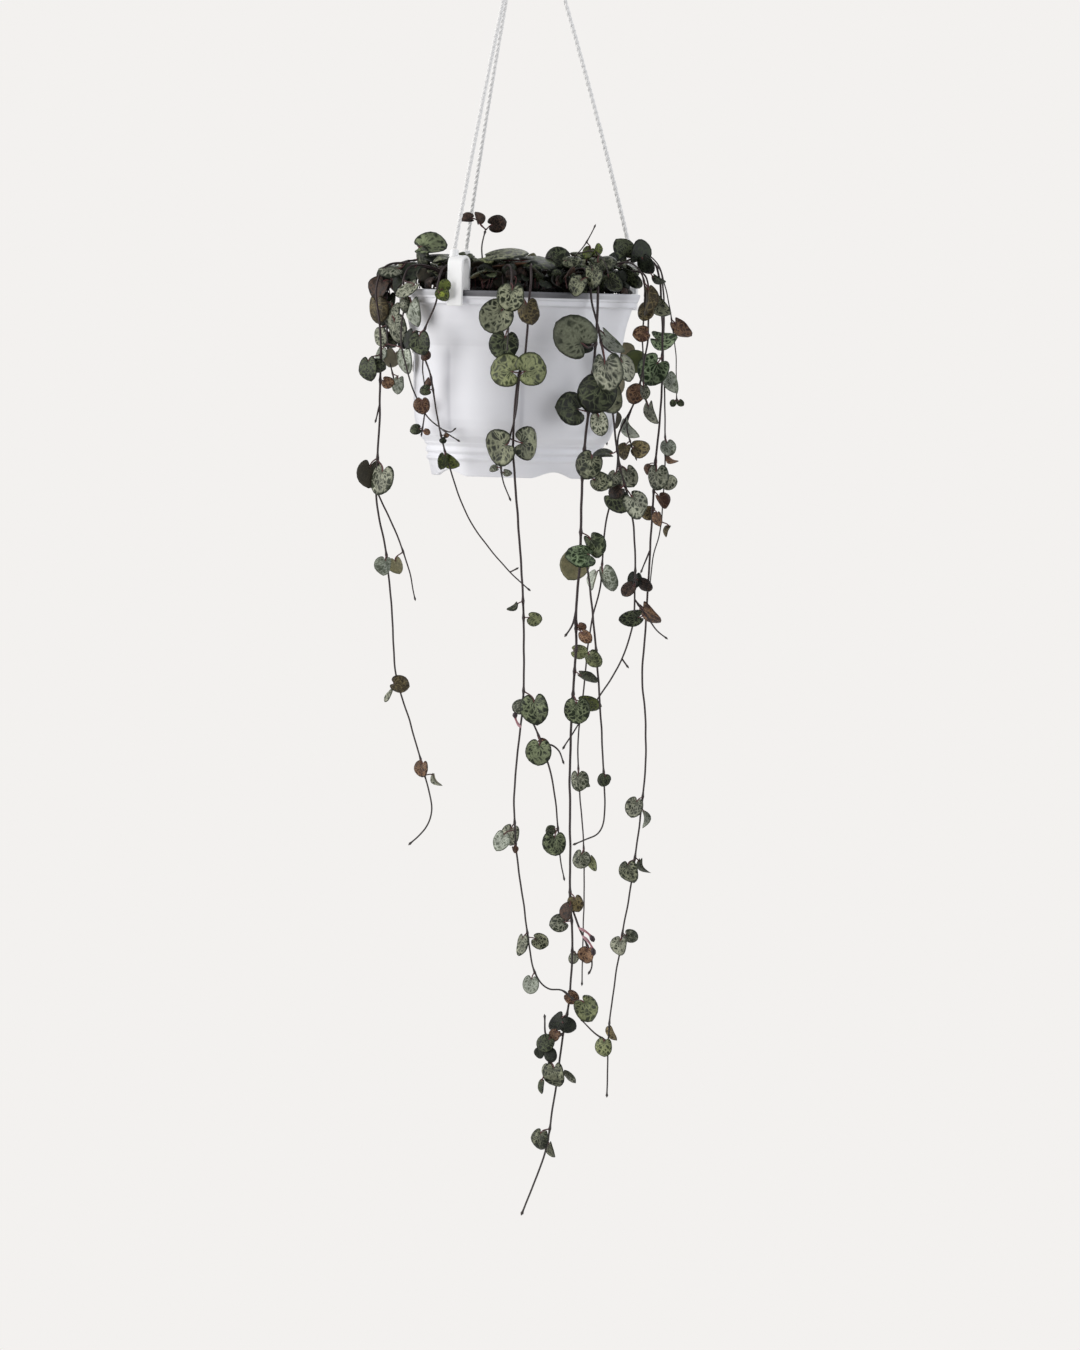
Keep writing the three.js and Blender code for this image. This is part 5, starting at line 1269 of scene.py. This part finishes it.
def stalk(skin, foot, notch, width, tip):
    """A leaf's stalk, a cubic curve: it leaves the stem, bends, and meets the notch along the leaf's own
    line. It is thinnest half way and redder towards the leaf."""
    reach = np.linalg.norm(notch - foot)
    t = np.linspace(0, 1, 10)[:, None]
    leaving = foot + 0.35 * reach * unit(notch - foot)
    coming = notch - 0.4 * reach * tip
    end = notch + 0.04 * width * tip
    line = (1 - t) ** 3 * foot + 3 * t * (1 - t) ** 2 * leaving + 3 * t**2 * (1 - t) * coming + t**3 * end
    size = (0.75 + 0.02 * width) * STALK_RADIUS * (1 + 0.5 * (2 * t - 1) ** 4)
    red = np.concatenate([0 * t, 0.3 + 0.7 * t, 0 * t], axis=1)[:, None]
    rings = carried(line, circle(6) * size[..., None])
    skin.grid(rings, stem_tint=ended(red))


def blade(skin, leaf, random):
    """A heart-shaped leaf. Its outline is a reach from its middle, 1 less a bell curve at the notch, plus one
    for each of the two lobes beside it and one for the point at the tip. Rays from the middle to the outline
    are bent into a cupped, folded and twisted sheet, and the front and back skins stand half a thickness off
    it and meet in a rounded margin. It gives the place where the stalk meets the notch."""
    middle, width, tip, face, tone = leaf
    across = np.cross(tip, face)
    even = angles(LEAF_COLUMNS)[None]
    t = even - 0.6 * np.sin(even)
    away = np.minimum(t, FULL_TURN - t)
    grown = np.clip((width - 11) / 10, 0, 1)
    deep, point = random.uniform(0.38, 0.5) + 0.16 * grown, random.uniform(0.0, 0.12)
    slit, lobe = random.uniform(0.18, 0.24) + 0.05 * grown, random.uniform(0.02, 0.09)
    lean = random.uniform(-0.05, 0.05)
    reach = 1 - deep * np.exp(-((away / slit) ** 2)) + lobe * np.exp(-(((away - 0.7) / 0.45) ** 2))
    reach = 0.49 * (reach + point * np.exp(-(((math.pi - away) / 0.32) ** 2)) + lean * np.sin(t))
    outline = np.stack([reach * np.sin(t), HEART_MIDDLE - reach * np.cos(t)], -1)
    calm = min(1, 11 / width) ** 1.5
    cup, curl = calm * random.normal(-0.07, 0.13), calm * random.normal(-0.12, 0.12)
    fold, twist = calm * abs(random.normal(0, 0.16)), calm * random.normal(0, 0.16)
    wave = random.uniform(0, 0.02)
    pale, dark, reverse, cover = TONES[tone]
    shade = random.uniform(0.85, 1.12)
    shift = random.uniform(0, 40, 2)
    for side, rows in ((1, (0, 0.3, 0.6, 0.86, 1)), (-1, (0, 0.5, 0.86, 1))):
        out = np.array(rows)[:, None]
        flat = (0, HEART_MIDDLE) + out[..., None] * (outline - (0, HEART_MIDDLE))
        u, v = flat[..., 0], flat[..., 1]
        sheet = cup * (2 * u) ** 2 + curl * ((v - 0.4) / 0.5) ** 2 + fold * (np.sqrt(u**2 + 0.004) - 0.06)
        sheet = sheet + twist * u * (v - 0.45) + wave * np.sin(5 * t + 40 * cup) * out**2
        thick = side * LEAF_THICKNESS / 2 * (0.72 + 0.018 * width) * np.sqrt(1 - out**5)
        lift = (width * sheet + thick)[..., None]
        points = middle + width * (u[..., None] * across + (v[..., None] - 0.5) * tip) + lift * face
        skin.grid(
            points,
            flip=side > 0,
            paint=0 if side > 0 else 1,
            leaf_place=np.stack(np.broadcast_arrays(u, v, out), -1),
            leaf_shift=(*shift, cover + 2 * cup),
            leaf_pale=pale * shade,
            leaf_dark=dark * shade,
            leaf_reverse=reverse * shade,
        )
    return points[-1, 0]


def flower(skin, foot, head):
    """A small lantern flower: a swollen base, a narrow tube and a dark ribbed head. Its profile is carried
    from its foot to its head with a slight bow, a parabola."""
    foot, head = np.array(foot, float), np.array(head, float)
    t = np.linspace(0, 1, 26)[:, None]
    bow = np.cross(head - foot, [0, 1, 0]) * 0.12
    line = foot + (head - foot) * t + bow * 4 * t * (1 - t)
    marks = [0, 0.08, 0.2, 0.36, 0.55, 0.68, 0.8, 0.93, 1]
    size = np.interp(t, marks, [0.3, 0.6, 0.8, 0.6, 0.45, 0.7, 1.3, 1.1, 0.2])
    ribs = 1 + 0.08 * np.cos(5 * angles(20)) * (t > 0.5)
    section = circle(20) * (size * ribs)[..., None]
    place = np.concatenate([t, 0 * t, 0 * t], axis=1)[:, None]
    skin.grid(carried(line, section), flower_place=ended(place))


def leaf_on_stalk(stems, blades, leaf, foot, random):
    """One leaf, and its stalk from its foot on a stem."""
    _, width, tip, _, _ = leaf
    notch = blade(blades, leaf, random)
    stalk(stems, foot, notch, width, tip)


def grow(bark, leaf_skins, petals):
    """Every vine's stems, leaves and flowers, as three pieces. The stems stand for the vine's node."""
    vines = {}
    for name, vine in VINES.items():
        vines[name] = {**vine, "leaves": [placed_leaf(*leaf) for leaf in vine["leaves"]]}
    for i, shoot in enumerate(CROWN_SHOOTS):
        vines[f"crown_shoot_{i + 1}"] = crown_shoot(*shoot)
    for i, vine in enumerate(BACK_VINES):
        vines[f"vine_back_{i + 1}"] = back_vine(*vine)
    for number, (name, vine) in enumerate(vines.items()):
        random = np.random.default_rng(100 + number)
        lines = stem_lines(vine)
        samples = np.vstack(lines)
        feet = [nearest(samples, middle - 0.6 * width * tip) for middle, width, tip, _, _ in vine["leaves"]]
        stems, blades = Skin(f"{name}_stem"), Skin(f"{name}_leaves")
        for i, line in enumerate(lines):
            radius = STEM_SHARE * vine["stem"] * (TWIG_SHARE if i else 1)
            stem(stems, line, radius, np.array(feet), 0.0 if i else 0.3)
        for foot, leaf in zip(feet, vine["leaves"]):
            leaf_on_stalk(stems, blades, leaf, foot, random)
        wear(stems.mesh(), [bark], [name])
        wear(blades.mesh(), leaf_skins)
        if name in FLOWERS:
            skin = Skin(f"{name}_flowers")
            for foot, head in FLOWERS[name]:
                flower(skin, foot, head)
            wear(skin.mesh(), [petals])


def undergrowth(bark, leaf_skins):
    """Small dark leaves, 6 to 9.5 mm wide, that stand at every angle between the mix and the crown, most of
    them near the rim, as a power below 1 sets them. Every third one stands at the front right. They are only
    seen, not felt. Their near-black tones are partly the leaves' own and partly painted shade, which darkens
    the inside of the crown, most of all above the rim at the front right."""
    random = np.random.default_rng(61)
    stems, blades = Skin("undergrowth_stem"), Skin("undergrowth_leaves")
    for k in range(UNDERGROWTH):
        azimuth, radius = random.uniform(0, FULL_TURN), UNDERGROWTH_RADIUS * random.uniform(0.1, 1) ** 0.4
        lift = random.uniform(3, 8)
        if k % 3 == 0:
            azimuth = random.uniform(-1.2, 0.4)
            radius = random.uniform(UNDERGROWTH_RADIUS - 10, UNDERGROWTH_RADIUS)
            lift = random.uniform(0, 5)
        foot = round_pot(azimuth, radius, -211 + 0.05 * (55 - radius))
        width = random.uniform(6, 9.5)
        tip = unit(random.normal(size=3) + 0.3 * UP)
        face = facing(tip, level(azimuth) + 0.5 * random.normal(size=3))
        tone = "nknknndn"[random.integers(8)]
        middle = foot + lift * UP + 0.3 * width * tip
        leaf_on_stalk(stems, blades, (middle, width, tip, face, tone), foot, random)
    wear(stems.mesh(), [bark])
    wear(blades.mesh(), leaf_skins)


# The studio


def aimed(thing, place, target):
    """Puts a lamp or camera at a place in metres, turned towards its target."""
    thing.location = place
    thing.rotation_euler = (Vector(target) - Vector(place)).to_track_quat("-Z", "Y").to_euler()


def stand_camera():
    """The eye is level with the pot's rim, 6 m in front, and looks slightly down."""
    data = bpy.data.cameras.new("camera")
    data.sensor_width = 36
    data.lens = LENS
    data.clip_start, data.clip_end = 0.1, 100
    camera = added("camera", data)
    aimed(camera, Vector(EYE) * MM, Vector(AIM) * MM)
    bpy.context.scene.camera = camera


def hang_lamp(name, place, size, power, colour=(1, 1, 1)):
    """A round soft lamp that shines at the middle of the plant. Its place and size are in metres and its
    power in watts."""
    data = bpy.data.lights.new(name, "AREA")
    data.shape = "DISK"
    data.size = size
    data.energy = power
    data.color = colour
    aimed(added(name, data), place, Vector(LIT_MIDDLE) * MM)


def light_studio():
    """A pale room whose own light is dimmer than it looks, and three large soft lamps."""
    world = bpy.data.worlds.new("studio")
    world.use_nodes = True
    bpy.context.scene.world = world
    nodes, links = world.node_tree.nodes, world.node_tree.links
    seen, lit = nodes["Background"], nodes.new("ShaderNodeBackground")
    seen.inputs["Color"].default_value = (*tint(243, 241, 239), 1)
    lit.inputs["Color"].default_value = (0.93, 0.95, 1.0, 1)
    lit.inputs["Strength"].default_value = 0.29
    path, mix = nodes.new("ShaderNodeLightPath"), nodes.new("ShaderNodeMixShader")
    links.new(path.outputs["Is Camera Ray"], mix.inputs[0])
    links.new(lit.outputs[0], mix.inputs[1])
    links.new(seen.outputs[0], mix.inputs[2])
    links.new(mix.outputs[0], nodes["World Output"].inputs["Surface"])
    hang_lamp("key_lamp", (-3.0, -0.7, 0.5), size=4.6, power=124, colour=(1.0, 0.99, 0.97))
    hang_lamp("fill_lamp", (2.9, -1.1, 0.4), size=4.6, power=79, colour=(0.98, 0.99, 1.0))
    hang_lamp("back_lamp", (0.6, 2.4, 1.2), size=1.5, power=14)


def lay_floor():
    """A pale round floor that fades away, with a smooth step of the distance from its middle."""
    rings = np.linspace(0, 1, 24)[:, None, None] * circle(96) * STUDIO_FLOOR_RADIUS
    points = np.concatenate([rings, np.full(rings.shape[:2] + (1,), STUDIO_FLOOR_Z)], -1)
    skin = Skin("floor")
    skin.grid(points, flip=True)
    finish = Finish("floor_paint")
    x, y, _ = finish.split(finish.place())
    edge = STUDIO_FLOOR_RADIUS * MM
    fade = finish.step(finish.distance(x, y), 0.35 * edge, 0.98 * edge, 1.0, 0.0)
    mesh = skin.mesh()
    mesh.materials.append(finish.done(Base_Color=tint(236, 234, 231), Roughness=0.9, Alpha=fade))
    added("floor", mesh)


stand_camera()
fibre = cord_fibre()
for side, azimuth in STRANDS.items():
    mesh, path = strand(f"strand_{side}", azimuth)
    piece = wear(mesh, [fibre], [f"hanger_strand_{side}"])

satin = white_plastic("pot_satin", tint(228, 228, 234), 0.42)
bright = white_plastic("clip_gloss", tint(250, 250, 250), 0.36)
wear(pot(), [pot_plastic()], ["pot"], crease=50)
wear(pot_floor(), [satin], crease=40)
wear(potting_mix(), [bark_mix()], ["potting_mix"])
for side, azimuth in STRANDS.items():
    wear(clip(f"clip_{side}", azimuth), [bright], [f"rim_clip_{side}"], crease=50)
wear(hook(), [bright], ["hanging_hook"], crease=50)
bark = stem_bark()
leaf_skins = [leaf_faces(), leaf_backs()]
grow(bark, leaf_skins, flower_skin())
undergrowth(bark, leaf_skins)
lay_floor()
light_studio()

bpy.context.scene.view_settings.view_transform = "Standard"
